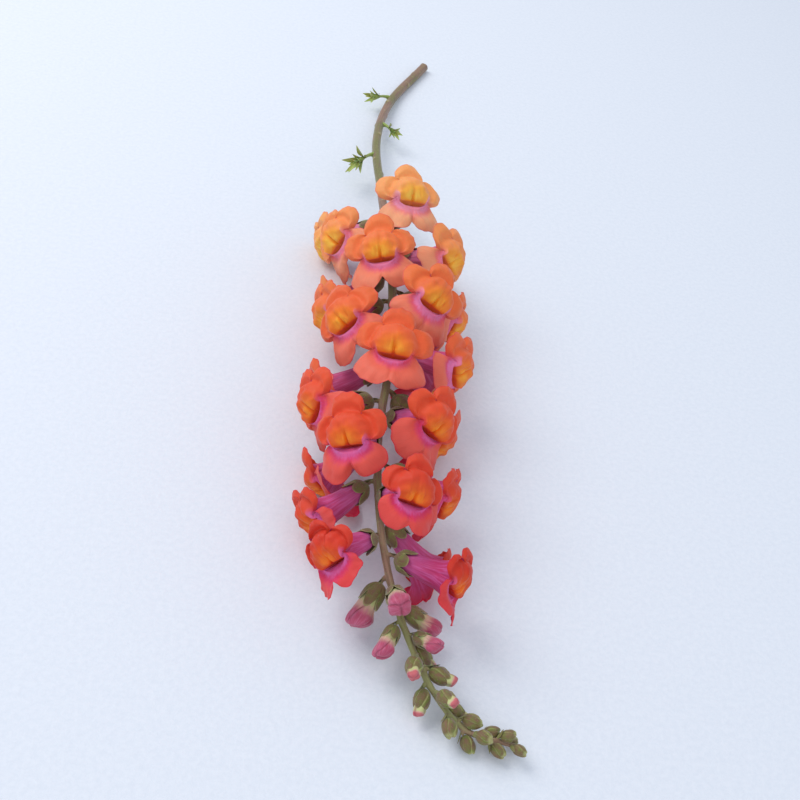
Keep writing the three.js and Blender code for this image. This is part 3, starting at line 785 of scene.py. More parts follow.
def bud_points(rng):
    """A bud whose upper lip lies folded over the lower one, in a squarish head cut off at a slant."""
    turn = full_turn(BUD_COLUMNS)
    phase, lean = rng.uniform(0, 2 * np.pi), rng.uniform(-0.12, 0.12)
    square = np.abs(np.cos(turn + 0.2)) ** SQUARENESS + np.abs(np.sin(turn + 0.2)) ** SQUARENESS
    boxy = 1.1 / square ** (1 / SQUARENESS)
    points = through(np.stack([
        ring(turn, radius * mix(1, boxy * (1 + 0.05 * np.cos(3 * turn + phase)), smooth(4, 11, z) * 0.8), z)
        for radius, z in BUD_PROFILE
    ]), BUD_STEPS)
    x, y, z = (points[..., i].copy() for i in range(3))
    radial = np.hypot(x, y)
    over = x + HEAD_SLANT * (z - 11.5) + 0.5 * np.sin(0.7 * y + phase)
    beside = y - lean * (z - 8) - 0.2 * np.sin(0.6 * z + phase)
    head = smooth(6.5, 9.5, z)
    lap = bell(over + 0.2, 0.45) * head
    seam = bell(beside, 0.5) * smooth(0.2, 1.4, over) * head
    sunk = LIP_STEP * smooth(0.25, -0.25, over) * head + LAP_DEPTH * lap + SEAM_DEPTH * seam
    sunk += 0.07 * ripple(np.degrees(turn), rng, 13, 5) * smooth(2, 6, z) * (1 - smooth(9, 13, z))
    sunk -= 0.22 * swell(x + 0.4 * z, y + 0.8 * z, rng, 6) * smooth(3, 7, z)
    cap = smooth(14.2, 16.6, z)
    shrink = 1 - np.minimum(sunk * (1 - cap), 0.5 * radial) / np.maximum(radial, 1e-6)
    points[..., 0] = x * shrink + 0.03 * np.maximum(z - 6, 0) ** 1.4
    points[..., 1] = y * shrink
    points[..., 2] -= sunk * cap + (HEAD_SLANT * x + 0.12 * y * math.cos(phase)) * smooth(8, 16.5, z)
    return points, {
        "along": z / BUD_TOP,
        # crease: where the lips lap and meet, which the finish darkens as painted shade
        "crease": np.clip(lap + seam, 0, 1),
        "coral": 0,
        "vein": vein_mark(turn, 8, z / 5) + rng.uniform(0, NOISE_RANGE, 3),
    }


print("a pink bud is", BUD_TOP, "mm long")

# %% The five pink buds
pink_buds = []
for i, place in enumerate(pink_seats):
    points, marks = bud_points(np.random.default_rng(200 + i))
    bud = rolled_skin(f"pink_bud_{i + 1:02d}", pressed(settled(place, points)), marks)
    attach(bud, "root")
    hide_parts(f"bud_{i + 1:02d}")
    pink_buds.append(bud)
print("pink buds:", len(pink_buds), "faces in one:", len(pink_buds[0].data.polygons))

# %% [markdown]
# ## Calyces and green buds
# Every flower stands in a calyx, a green cup that is cut into five blunt sepals, and the youngest buds are
# still wrapped in theirs. The cup is a skin that runs up its outside to the sepals' edge and down its
# inside. The green buds are closed skins, on which each sepal laps over the next with one edge. A little
# pink shows at the top of the largest, and that is a small closed skin inside each.

# %% Calyces
CALYX_COLUMNS = 70
SEPALS = 5
SEPAL_THICKNESS = 0.34
SEPAL_TOP, SEPAL_NOTCH = (7.0, 7.6), 1.4  # a sepal's height round a flower and round a bud, and between two


def sepal_place(turn):
    """Where each angle lies on its sepal, from -1 over 0 on its middle to 1, and the sepal's number."""
    share = turn / (2 * np.pi / SEPALS) + 0.5
    return 2 * np.mod(share, 1) - 1, np.floor(share).astype(int) % SEPALS


def calyx_points(size, snug, rng):
    """snug is how closely the sepals hold what is in them: 0 round an open flower, 1 round a bud."""
    turn = full_turn(CALYX_COLUMNS)
    across, number = sepal_place(turn)
    between = np.abs(across)
    rise = (1 - between**2.2) ** 0.8
    top = mix(SEPAL_NOTCH, mix(*SEPAL_TOP, snug) * rng.uniform(0.78, 1.08, SEPALS)[number], rise)
    flare = rng.uniform(-0.1, mix(0.9, 0.25, snug), SEPALS)[number] * rise**2
    wall = SEPAL_THICKNESS / size
    mouth = mix(mix(5.2, 5.45, rise), mix(4.45, 4.55, rise), snug) + flare
    waist, foot = mix(5.15, 4.35, snug), mix(4.5, 3.9, snug)
    keel = 0.32 * (1 - between) ** 2
    seam = 0.35 * between**4
    outer = through(np.stack([
        ring(turn, 0, -CALYX_DEPTH),
        ring(turn, 1.6, -3.3),
        ring(turn, 3.2 - 0.3 * between**3, -2.2),
        ring(turn, foot + wall + keel - seam, -0.2),
        ring(turn, waist + wall + keel - seam, mix(0, top, 0.5)),
        ring(turn, mouth + wall * 0.5, top),
    ]), (1, 3, 4, 6, 7))
    inner = through(np.stack([
        ring(turn, mouth, top - 0.05),
        ring(turn, waist, mix(0, top, 0.5)),
        ring(turn, foot, 0.1),
        ring(turn, 0, -0.5),
    ]), (4, 3, 2))
    points = np.concatenate([outer, inner])
    height = np.clip(points[..., 2] / np.maximum(top, 0.1), 0, 1)
    side_edge = smooth(0.8, 1, between) * smooth(0.1, 0.6, height)
    return points, {
        "rib": 1 - between,
        "tip": height,
        "edge": np.clip(0.6 * side_edge + 0.7 * smooth(0.9, 1, height), 0, 1),
        "vein": vein_mark(turn, 7, points[..., 2] / 3) + rng.uniform(0, NOISE_RANGE, 3),
    }


calyx_parts = []
for i, place in enumerate(pink_seats + floret_seats):
    snug = 1.0 if i < len(pink_seats) else 0.0
    points, marks = calyx_points(place["size"], snug, np.random.default_rng(300 + i))
    calyx_parts.append(rolled_skin("calyx", pressed(settled(place, points)), marks))
calyces = joined("calyces", calyx_parts)
print("calyces:", len(calyx_parts), "faces:", len(calyces.data.polygons))

# %% Green buds
GREEN_COLUMNS = 70
GREEN_PROFILE = (  # radius and height of each ring, in mm
    (0, -3.6), (1.5, -3.35), (2.55, -2.3), (3.5, 0.2), (3.35, 2.6), (2.6, 4.5), (1.35, 5.7), (0, 6.0),
)
GREEN_STEPS = (2, 4, 6, 6, 5, 5, 3)
OVERLAP = 0.2  # how far a sepal's one edge stands over its neighbour's, in mm
SEPAL_SWIRL = 0.09  # how far the sepals wind round the bud, in radians for each mm of height


def green_bud_points(rng):
    """Five sepals, each with one edge lapped over the next, closed over the petals inside."""
    turn = full_turn(GREEN_COLUMNS)
    points = through(np.stack([ring(turn, radius, z) for radius, z in GREEN_PROFILE]), GREEN_STEPS)
    z = points[..., 2].copy()
    across, number = sepal_place(turn - SEPAL_SWIRL * (z + CALYX_DEPTH))
    seam = bell(np.abs(across) - 1, 0.12)
    lap = OVERLAP * across + 0.2 * (1 - across**2) - 0.22 * seam + 0.12 * swell(points[..., 0], z, rng, 4)
    radial = np.hypot(points[..., 0], points[..., 1])
    grow = 1 + lap * smooth(-3.4, -0.5, z) * smooth(0, 2.4, radial) / np.maximum(radial, 1e-6)
    points[..., :2] *= grow[..., None]
    longer = rng.uniform(-0.6, 0.9, SEPALS)[number] * (1 - across**2)
    points[..., 2] += smooth(2, 5.6, z) * smooth(0, 1.6, radial) * (longer - 0.8 * np.abs(across) ** 3)
    return points, {
        "rib": 1 - np.abs(across),
        "tip": np.clip((z + CALYX_DEPTH) / 9.6, 0, 1),
        "edge": np.clip(0.6 * bell(across - 0.9, 0.1) + 0.7 * smooth(4.2, 5.8, z), 0, 1),
        "vein": vein_mark(turn, 6, z / 3) + rng.uniform(0, NOISE_RANGE, 3),
    }


green_parts = []
for i, place in enumerate(green_seats):
    points, marks = green_bud_points(np.random.default_rng(400 + i))
    green_parts.append(rolled_skin("green_bud", pressed(settled(place, points)), marks))
green_buds = joined("green_buds", green_parts)
print("green buds:", len(green_parts), "faces:", len(green_buds.data.polygons))

# %% Petals that show at the tops of the largest green buds
TIPPED = 6
TIP_COLUMNS, TIP_STEPS = 36, (2, 3, 3, 3, 3)
SEAM_APART = 2.09  # the angle between two of the three lines where the folded petals meet


def petal_tip_points(i):
    """The i-th tuft of folded petals. Each stands further out of its bud than the one before."""
    turn = full_turn(TIP_COLUMNS)
    grown = mix(0.35, 1.0, i / (TIPPED - 1))
    profile = (
        (0, 2.0), (1.9, 2.6), (2.4, 4.4),
        (2.5, 5.4 + grown), (2.0, 6.7 + 1.6 * grown), (0, 7.1 + 1.9 * grown),
    )
    corner = 1 + 0.12 * np.cos(4 * turn + i)
    points = through(np.stack([ring(turn, radius * corner, z) for radius, z in profile]), TIP_STEPS)
    points[..., 2] -= 0.3 * points[..., 0] * smooth(4, 7, points[..., 2])
    return points, {
        "along": 0.1 + 0.7 * smooth(5.2, 8.0, points[..., 2]),
        "coral": 1,
        # crease: the lines where the folded petals meet, darkened as painted shade in the finish
        "crease": np.exp(-((np.mod(turn + 0.4 * i, SEAM_APART) - 1) ** 2) / 0.03),
        "vein": vein_mark(turn, 4, points[..., 2]),
    }


tip_parts = []
for i, place in enumerate(green_seats[-TIPPED:]):
    points, marks = petal_tip_points(i)
    tip_parts.append(rolled_skin("petal_tip", pressed(settled(place, points)), marks))
petal_tips = joined("petal_tips", tip_parts)
print("green buds with petals showing:", len(tip_parts))

# %% [markdown]
# ## The stalk
# The stalk is a slightly ribbed rod, swollen a little where each bud or leaf joins it, scarred where its
# leaves were stripped, and cut off at a slant. It is a long rolled skin too, because its ribs and scars are
# easier to place by formula than by hand. Short pedicels carry the buds and flowers on it.

# %% The main stalk
STALK_COLUMNS, STALK_ROWS = 28, 620
SLIMMER = 0.97  # the stalk's radius as a share of the solid's, which leaves room for its ribs
SCARS = [(360 + 17.5 * k, math.radians((k * GOLDEN_ANGLE) % 360)) for k in range(12)]
JOINT_LENGTH, JOINT_WIDTH, JOINT_HEIGHT = 2.4, 0.7, 0.4  # a mound's length in mm, width in radians and height
SCAR_LENGTH, SCAR_WIDTH, SCAR_HEIGHT = 1.5, 0.55, 0.5
END_SHRINK, END_SLANT = (0.9, 0.62, 0), 0.9  # the cut end's rows as shares of the radius, and their slant
LEAST_HEIGHT = 0.02  # how far the lowest points stay off the table, in mm


def mound(distance, turn, at, way, length, width):
    """A mound on the stalk at a distance from the tip and a way round it, 1 high in its middle."""
    off_along = (distance - at) / length
    if abs(off_along) >= 3:
        return 0
    off_round = (np.mod(turn - way + np.pi, 2 * np.pi) - np.pi) / width
    return math.exp(-off_along * off_along) * np.exp(-off_round * off_round)


def stalk_points():
    turn = full_turn(STALK_COLUMNS)
    ends = len(END_SHRINK)
    distances = np.concatenate([[0], np.linspace(0, STEM_LENGTH, STALK_ROWS), np.full(ends, STEM_LENGTH)])
    shrink = np.concatenate([[0, 0.6], np.ones(STALK_ROWS - 1), END_SHRINK])
    joints = []
    for place in all_seats:
        _, _, up, side = station(place["at"])
        joints.append((place["at"], math.atan2(place["out"] @ side, place["out"] @ up)))
    rows, scarred = [], []
    for distance, inward in zip(distances, shrink):
        point, to_tip, up, side = station(distance)
        ribbed = 1 + 0.035 * np.cos(5 * turn + distance * 0.006) + 0.012 * np.sin(11 * turn + distance * 0.02)
        radius = stem_radius(distance) * SLIMMER * ribbed
        for at, way in joints:
            radius = radius + JOINT_HEIGHT * mound(distance, turn, at, way, JOINT_LENGTH, JOINT_WIDTH)
        scar = np.zeros_like(turn)
        for at, way in SCARS:
            swollen = mound(distance, turn, at, way, SCAR_LENGTH, SCAR_WIDTH)
            radius = radius + SCAR_HEIGHT * swollen
            scar = np.maximum(scar, smooth(0.45, 0.75, swollen))
        centre = point + up * max(0, stem_radius(distance) * 0.95 - point[2])
        slant = END_SLANT * np.cos(turn) * inward * (distance >= STEM_LENGTH)
        rows.append(hoop(turn, centre, radius * inward, up, side) + np.outer(slant, to_tip))
        scarred.append(scar)
    points = np.stack(rows)
    points[..., 2] = np.maximum(points[..., 2], LEAST_HEIGHT)
    return points, {
        "along": (distances / STEM_LENGTH)[:, None],
        "scar": np.stack(scarred),
        "cut": ((distances >= STEM_LENGTH) & (shrink < 0.95))[:, None],
        "vein": vein_mark(turn, 2.5, (distances / 14)[:, None]),
    }


main_stalk = rolled_skin("main_stalk", *stalk_points())
print("stalk faces:", len(main_stalk.data.polygons))

# %% Pedicels
PEDICEL_COLUMNS, PEDICEL_STEPS = 16, (1, 4, 3, 3, 1)


def pedicel_points(place):
    """A bent stalklet from the middle of the stem to inside the calyx, flared at both ends."""
    turn = full_turn(PEDICEL_COLUMNS)
    size = place["size"]
    start, end = place["point"], place["foot"] + place["axes"][2] * 0.9 * size
    bend = place["root"] + place["out"] * 1.3 * size
    x = unit(place["to_tip"] - place["out"] * (place["to_tip"] @ place["out"]))
    y = np.cross(unit(end - start), x)
    middles_and_radii = (
        (start, 0), (start, 1.25), (bend, 1.0), (mix(bend, end, 0.55), 0.9), (end, 1.15), (end, 0))
    return through(np.stack([
        hoop(turn, middle, radius * size, x, y) for middle, radius in middles_and_radii
    ]), PEDICEL_STEPS)


pedicel_parts = []
for place in all_seats:
    points = pedicel_points(place)
    marks = {"along": place["at"] / STEM_LENGTH, "scar": 0, "cut": 0, "vein": points * 0.5}
    pedicel_parts.append(rolled_skin("pedicel", pressed(points), marks))
pedicels = joined("pedicels", pedicel_parts)
print("pedicels:", len(pedicel_parts))

# %% [markdown]
# ## Bracts and leafy shoots
# A small leaf, the bract, stands below every bud, and short shoots with tufts of young leaves grow on the
# bare stalk. One leaf blade is modelled: a grid is added, its rows are narrowed towards the two
# ends in edit mode, and the Solidify and Subdivision Surface modifiers give it thickness and a smooth
# outline. Then it is copied to each place, bent there by its own arch, and every copy keeps a mesh of its
# own.

# %% One leaf blade
LEAF_COLUMNS = 4
LEAF_WIDTHS = (0.26, 0.5, 0.82, 1.0, 0.94, 0.72, 0.42, 0.1)  # of each row, from the foot to the tip
LEAF_ROWS = len(LEAF_WIDTHS) - 1
LEAF_TROUGH, LEAF_THICKNESS = 0.55, 0.035  # how far its sides rise, and its thickness, for a width of 1

deselect()
bpy.ops.mesh.primitive_grid_add(
    x_subdivisions=LEAF_COLUMNS, y_subdivisions=LEAF_ROWS, size=1, location=(0, 0, 0))
leaf = bpy.context.object
leaf.name = leaf.data.name = "leaf"
for row, width in enumerate(LEAF_WIDTHS):
    bpy.ops.object.mode_set(mode="EDIT")
    bpy.ops.mesh.select_all(action="DESELECT")
    bpy.ops.object.mode_set(mode="OBJECT")
    for vertex in leaf.data.vertices:
        vertex.select = abs(vertex.co.y + 0.5 - row / LEAF_ROWS) < 0.01
    bpy.ops.object.mode_set(mode="EDIT")
    bpy.ops.transform.resize(value=(width, 1, 1))
bpy.ops.object.mode_set(mode="OBJECT")
for vertex in leaf.data.vertices:
    vertex.co.z = LEAF_TROUGH * abs(vertex.co.x) ** 1.3
    vertex.co.y += 0.5
thickness = leaf.modifiers.new("thickness", "SOLIDIFY")
thickness.thickness = LEAF_THICKNESS
thickness.offset = 0
bpy.ops.object.modifier_apply(modifier="thickness")
rounding = leaf.modifiers.new("rounding", "SUBSURF")
rounding.levels = rounding.render_levels = 1
bpy.ops.object.modifier_apply(modifier="rounding")
bpy.ops.object.shade_smooth()
print("one leaf:", len(leaf.data.polygons), "faces")

# %% A copy of the leaf at its place
MIDRIB_WIDTH = 0.12


def grow_leaf(root, along, face, length, width, arch, tone):
    """A copy of the leaf blade from root along a direction, its upper side towards face, arched back."""
    copy = leaf.copy()
    copy.data = leaf.data.copy()
    bpy.context.collection.objects.link(copy)
    flat = vertex_places(copy.data).astype(float)
    side = unit(np.cross(along, face))
    face = np.cross(side, along)
    x, y, z = flat[:, :1] * width, flat[:, 1:2] * length, flat[:, 2:] * width
    drop = -arch * length * flat[:, 1:2] ** 2
    move_vertices(copy.data, pressed(root + x * side + y * along + (z + drop) * face))
    add_mark(copy.data, "midrib", 1 - np.clip(np.abs(flat[:, 0]) / MIDRIB_WIDTH, 0, 1))
    add_mark(copy.data, "rise", flat[:, 1])
    add_mark(copy.data, "tone", np.full(len(flat), tone))
    copy.data.update()
    return copy


print("points in one leaf:", len(leaf.data.vertices))

# %% Bracts
BRACT_LENGTH, BRACT_WIDTH, BRACT_ARCH = (6, 8.5), 3.8, -0.12
rng = np.random.default_rng(500)
bract_parts = []
for place in all_seats:
    size, out, to_tip = place["size"], place["out"], place["to_tip"]
    root = place["point"] - to_tip * 1.4 * size + out * (stem_radius(place["at"]) * 0.85)
    along = unit(out * 0.85 + to_tip * rng.uniform(0.1, 0.4))
    length = rng.uniform(*BRACT_LENGTH) * size
    tone = rng.uniform(0, 1)
    bract_parts.append(grow_leaf(root, along, unit(to_tip), length, BRACT_WIDTH * size, BRACT_ARCH, tone))
bracts = joined("bracts", bract_parts)
print("bracts:", len(bract_parts), "faces:", len(bracts.data.polygons))

# %% Leafy shoots
# Each shoot's distance from the tip, turn from the top, length, pairs of leaves and length of those.
SHOOTS = ((372, -62, 13, 5, 13), (420, 78, 17, 6, 15), (466, -75, 12, 5, 11), (508, 60, 14, 5, 12))
TWIG_COLUMNS, TWIG_STEPS = 14, (1, 3, 2, 4, 4, 1)
TWIG_RADII = (0, 1.7, 1.25, 1.0, 0.85, 0.6, 0)
TWIG_SHARES = (0.1, 0.5, 1, 1.02)  # where its outer rings stand, as shares of its length
SECOND_LEAF = 0.7  # the size of the second leaf of a pair, as a share of the first


def shoot_frame(at, turn):
    """Where a shoot leaves the stalk, and its directions: forward, sideways and across."""
    point, to_tip, up, side = station(at)
    out = up * math.cos(math.radians(turn)) + side * math.sin(math.radians(turn))
    grow = unit(out * 0.5 + to_tip * 0.87)
    heel = point + out * stem_radius(at) * 0.7
    root = point + out * (stem_radius(at) + 1.4) + to_tip
    lateral = unit(np.cross(grow, up))
    return heel, root, grow, lateral, np.cross(lateral, grow)


shoots = []
for number, (at, turn, length, leaf_pairs, leaf_length) in enumerate(SHOOTS):
    heel, root, grow, lateral, across = shoot_frame(at, turn)
    rng = np.random.default_rng(600 + number)
    middles = [heel, heel, mix(heel, root, 0.7)] + [root + grow * length * share for share in TWIG_SHARES]
    twig_points = through(np.stack([
        hoop(full_turn(TWIG_COLUMNS), middle, radius, lateral, across)
        for middle, radius in zip(middles, TWIG_RADII)
    ]), TWIG_STEPS)
    parts = [rolled_skin("twig", pressed(twig_points), {"midrib": 0, "rise": 0.2, "tone": 0.3})]
    for i in range(leaf_pairs * 2):
        t = (i / 2 + 1) / (leaf_pairs + 0.5)
        way = (i / 2) * math.radians(GOLDEN_ANGLE) + at + (i % 2) * 2.1
        away = lateral * math.cos(way) + across * math.sin(way)
        run = unit(grow * mix(0.9, 1.3, t) + away * mix(0.7, 0.3, t))
        small = SECOND_LEAF if i % 2 else 1
        foot = root + grow * length * mix(0.25, 0.97, t)
        arch = 0.12 + 0.1 * rng.uniform(-1, 1)
        parts.append(grow_leaf(
            foot, run, unit(grow - run * (grow @ run)), leaf_length * mix(1.12, 0.8, t) * small,
            leaf_length * 0.24 * small, arch, rng.uniform(0, 1)))
    shoot = joined(f"leafy_shoot_{number + 1:02d}", parts)
    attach(shoot, "root")
    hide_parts(f"side_shoot_{number + 1:02d}")
    shoots.append(shoot)
bpy.data.objects.remove(leaf)
print("leafy shoots:", len(shoots))

# %% [markdown]
# ## Hairs
# The upper stalk, the calyces and the buds are covered in short sticky hairs, which blur their outline
# against the table. Each hair is a slender three-sided cone, the smallest shape that still reads as one,
# and they are scattered over the faces by area from a fixed seed.

# %% Hairs
HAIR_COUNT, HAIR_LENGTH, HAIR_WIDTH = 9000, 0.6 * MM, 0.07 * MM
HAIR_ROOT = 0.05 * MM  # how deep a hair starts below the skin
HAIRS_END = 120 * MM  # the stalk is bald beyond this place along y
THIRDS = np.arange(3) * 2.0944


def unit_rows(rows):
    return rows / np.linalg.norm(rows, axis=1, keepdims=True)


def face_corners(piece):
    """The corners of a piece's triangles, in metres."""
    piece.data.calc_loop_triangles()
    index = np.empty(len(piece.data.loop_triangles) * 3, np.int32)
    piece.data.loop_triangles.foreach_get("vertices", index)
    return vertex_places(piece.data)[index.reshape(-1, 3)].astype(float)


def hairs_on(name, pieces, seed):
    rng = np.random.default_rng(seed)
    corners = np.concatenate([face_corners(piece) for piece in pieces])
    corners = corners[corners.mean(axis=1)[:, 1] < HAIRS_END]
    across = np.cross(corners[:, 1] - corners[:, 0], corners[:, 2] - corners[:, 0])
    areas = np.linalg.norm(across, axis=1)
    chosen = rng.choice(len(corners), HAIR_COUNT, p=areas / areas.sum())
    a, b = np.sort(rng.uniform(0, 1, (2, HAIR_COUNT)), axis=0)
    shares = np.stack([a, b - a, 1 - b], 1)[:, :, None]
    spot = (corners[chosen] * shares).sum(axis=1)
    normal = across[chosen] / areas[chosen][:, None]
    lean = unit_rows(normal + rng.normal(0, 0.25, (HAIR_COUNT, 3)))
    aside = unit_rows(np.cross(lean, rng.normal(0, 1, (HAIR_COUNT, 3))))
    other = np.cross(lean, aside)
    long = HAIR_LENGTH * rng.uniform(0.6, 1.2, (HAIR_COUNT, 1))
    base = (spot - lean * HAIR_ROOT)[:, None, :] + HAIR_WIDTH / 2 * (
        np.cos(THIRDS)[None, :, None] * aside[:, None, :] + np.sin(THIRDS)[None, :, None] * other[:, None, :])
    vertices = np.concatenate([base, (spot + lean * long)[:, None, :]], axis=1)
    vertices[..., 2] = np.maximum(vertices[..., 2], LEAST_HEIGHT * MM)
    faces = np.array([(0, 2, 1), (0, 1, 3), (1, 2, 3), (2, 0, 3)])
    index = (np.arange(HAIR_COUNT) * 4)[:, None, None] + faces[None]
    mesh = bpy.data.meshes.new(name)
    mesh.from_pydata(vertices.reshape(-1, 3).tolist(), [], index.reshape(-1, 3).tolist())
    mesh.update()
    piece = bpy.data.objects.new(name, mesh)
    bpy.context.collection.objects.link(piece)
    return piece


stem_hairs = hairs_on("hairs", [main_stalk, pedicels, calyces, green_buds], 700)
print("hairs:", len(stem_hairs.data.polygons) // 4)

# %% [markdown]
# ## What each piece stands for
# The stalk, pedicels, calyces, green buds and their petal tips, bracts and hairs all take the place of the
# one solid called stem. They ride on the part's only body.

# %% Ride and replace
for piece in (main_stalk, pedicels, calyces, green_buds, petal_tips, bracts, stem_hairs):
    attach(piece, "root")
    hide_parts("stem")

# %% [markdown]
# ## Finishes
# A finish is a tree of nodes, and all of these are built alike: a ground colour, and over it one coat after
# another, each let through by a mask. The masks come from the marks on the pieces and from noise. So a
# small helper adds and links the nodes, and a finish reads as its list of coats. Throughout, w is the
# wiring of the tree at hand.

# %% Node helpers
def linear(red, green, blue):
    """A colour on the screen's scale of 0 to 255, as the amounts of light that the nodes count in."""
    def channel(c):
        c /= 255
        return c / 12.92 if c <= 0.04045 else ((c + 0.055) / 1.055) ** 2.4
    return (channel(red), channel(green), channel(blue), 1.0)


class Wiring:
    """Adds and links nodes in one tree."""

    def __init__(self, tree):
        self.tree = tree

    def node(self, kind, **settings):
        node = self.tree.nodes.new(kind)
        for key, value in settings.items():
            setattr(node, key, value)
        return node

    def feed(self, socket, value):
        if isinstance(value, bpy.types.NodeSocket):
            self.tree.links.new(value, socket)
        else:
            socket.default_value = value

    def math(self, operation, a, b):
        node = self.node("ShaderNodeMath", operation=operation)
        self.feed(node.inputs[0], a)
        self.feed(node.inputs[1], b)
        return node.outputs[0]

    def plus(self, a, b):
        return self.math("ADD", a, b)

    def times(self, a, b):
        return self.math("MULTIPLY", a, b)

    def step(self, value, low, high):
        """The soft step of the shape helpers, as a node."""
        node = self.node("ShaderNodeMapRange", interpolation_type="SMOOTHSTEP")
        for name, given in (("Value", value), ("From Min", low), ("From Max", high)):
            self.feed(node.inputs[name], given)
        return node.outputs["Result"]

    def strayed(self, value, noise, amount):
        """A value that a noise moves up and down by half the amount."""
        return self.plus(value, self.times(self.math("SUBTRACT", noise, 0.5), amount))

    def mark(self, name):
        return self.node("ShaderNodeAttribute", attribute_name=name).outputs["Fac"]

    def veins(self):
        return self.node("ShaderNodeAttribute", attribute_name="vein").outputs["Vector"]

    def place(self):
        return self.node("ShaderNodeTexCoord").outputs["Object"]

    def stretch(self, vector, scale):
        node = self.node("ShaderNodeMapping")
        self.feed(node.inputs["Vector"], vector)
        node.inputs["Scale"].default_value = scale
        return node.outputs["Vector"]

    def noise(self, vector, scale, detail=3.0, roughness=0.55):
        node = self.node("ShaderNodeTexNoise")
        self.feed(node.inputs["Vector"], vector)
        for name, given in (("Scale", scale), ("Detail", detail), ("Roughness", roughness)):
            node.inputs[name].default_value = given
        return node.outputs["Fac"]

    def blend(self, factor, a, b, how="MIX"):
        node = self.node("ShaderNodeMix", data_type="RGBA", blend_type=how, clamp_factor=True)
        for socket, given in ((node.inputs["Factor"], factor), (node.inputs[6], a), (node.inputs[7], b)):
            self.feed(socket, given)
        return node.outputs[2]

    def coats(self, paint, *coats):
        """Lays coats over a ground colour, each with a mask, its share where that is 1, and a colour."""
        for mask, most, color in coats:
            paint = self.blend(mask if most == 1 else self.times(mask, most), paint, color)
        return paint

    def tints(self, paint, *tints):
        """Does the same with colours that the paint is multiplied by."""
        for mask, most, color in tints:
            paint = self.blend(self.times(mask, most), paint, self.blend(1.0, paint, color, "MULTIPLY"))
        return paint


print("a middle grey of 128 is", round(linear(128, 128, 128)[0], 3), "of white's light")


# %% Groups, materials and relief
def new_group(name, inputs, outputs):
    """A node group. inputs are its colours' names, and outputs the names and kinds of what it gives."""
    tree = bpy.data.node_groups.new(name, "ShaderNodeTree")
    for label in inputs:
        tree.interface.new_socket(name=label, in_out="INPUT", socket_type="NodeSocketColor")
    for label, kind in outputs:
        tree.interface.new_socket(name=label, in_out="OUTPUT", socket_type=kind)
    wiring = Wiring(tree)
    return wiring, wiring.node("NodeGroupInput").outputs, wiring.node("NodeGroupOutput").inputs


def new_material(name, **constants):
    material = bpy.data.materials.new(name)
    material.use_nodes = True
    shader = material.node_tree.nodes["Principled BSDF"]
    for label, value in constants.items():
        shader.inputs[label.replace("_", " ")].default_value = value
    return material, Wiring(material.node_tree), shader


def relief(wiring, shader, height, strength, depth):
    """Fine relief on the surface. depth is in metres."""
    node = wiring.node("ShaderNodeBump")
    node.inputs["Strength"].default_value = strength
    node.inputs["Distance"].default_value = depth
    wiring.feed(node.inputs["Height"], height)
    wiring.feed(shader.inputs["Normal"], node.outputs["Normal"])


print("materials before the finishes:", len(bpy.data.materials))

# %% [markdown]
# ## The petals' finish
# Petals change along the stem, from red where they have just opened to apricot on the oldest, and over each
# flower, from a golden palate to coral lips, a lilac throat and a pink tube. The marks say where on the
# petal a point is, and one shared node group turns them and nine colours into the petal's paint. Three
# materials use the group, each with the colours of its own stretch of the stem.

# %% The petals' colours
# Each colour at four ages: where red begins, where coral and apricot take over, and on the oldest flower.
PETAL_COLORS = {
    "Lobe": ((212, 50, 28), (230, 80, 38), (238, 116, 58), (246, 164, 96)),
    "Palate": ((224, 80, 18), (240, 108, 26), (248, 146, 40), (252, 182, 64)),
    "Gold": ((244, 126, 24), (252, 148, 34), (255, 184, 54), (255, 212, 88)),
    "Upper": ((222, 60, 62), (234, 92, 76), (240, 124, 92), (248, 170, 124)),
    "Mouth": ((208, 34, 104), (216, 46, 114), (226, 80, 116), (234, 120, 126)),
    "Lilac": ((222, 116, 186), (228, 128, 194), (230, 142, 190), (232, 156, 190)),
    "Tube": ((196, 54, 112), (204, 70, 126), (208, 86, 136), (214, 106, 146)),
    "Back": ((194, 46, 86), (208, 64, 98), (216, 90, 108), (226, 120, 120)),
    "Edge": ((212, 20, 66), (218, 34, 76), (222, 56, 92), (232, 92, 112)),
}
print("colours in a petal:", len(PETAL_COLORS))

# %% The petals' shared paint
w, given, result = new_group(
    "petal_paint", PETAL_COLORS,
    (("Color", "NodeSocketColor"), ("Height", "NodeSocketFloat"), ("Roughness", "NodeSocketFloat")))
lip, upper, outside, tube, gold = (w.mark(name) for name in ("lip", "upper", "outside", "tube", "gold"))
throat, cheek, crease, base = (w.mark(name) for name in ("throat", "cheek", "crease", "base"))
veins = w.veins()
streaks = w.noise(veins, 1.0, 3.0, 0.5)
long_streaks = w.noise(w.stretch(veins, (0.8, 0.8, 0.3)), 1.0, 3.0, 0.5)
fine = w.noise(w.stretch(veins, (1, 1, 0.35)), 3.2, 2.0, 0.5)
cloud = w.noise(w.place(), 230.0, 3.0)
patches = w.noise(w.place(), 75.0, 2.0)
grain = w.noise(w.place(), 3200.0, 2.0)

sunny = w.strayed(w.strayed(gold, streaks, 0.16), cloud, 0.3)
lower_face = w.coats(
    given["Lobe"],
    (w.step(sunny, 0.1, 0.6), 1, given["Palate"]),
    (w.step(sunny, 0.55, 1.0), 1, given["Gold"]))
deep = w.strayed(w.strayed(throat, streaks, 0.45), patches, 0.45)
upper_face = w.coats(
    given["Upper"],
    (w.step(deep, 0.16, 0.85), 0.85, given["Mouth"]),
    (w.step(deep, 0.62, 1.1), 0.6, given["Lilac"]))
pale = w.strayed(w.strayed(cheek, streaks, 0.3), patches, 0.3)
face = w.coats(
    w.blend(upper, lower_face, upper_face),
    (w.step(pale, 0.3, 0.9), 0.6, given["Lilac"]),
    (w.step(w.strayed(lip, cloud, 0.1), 0.92, 1.0), 0.45, given["Edge"]))

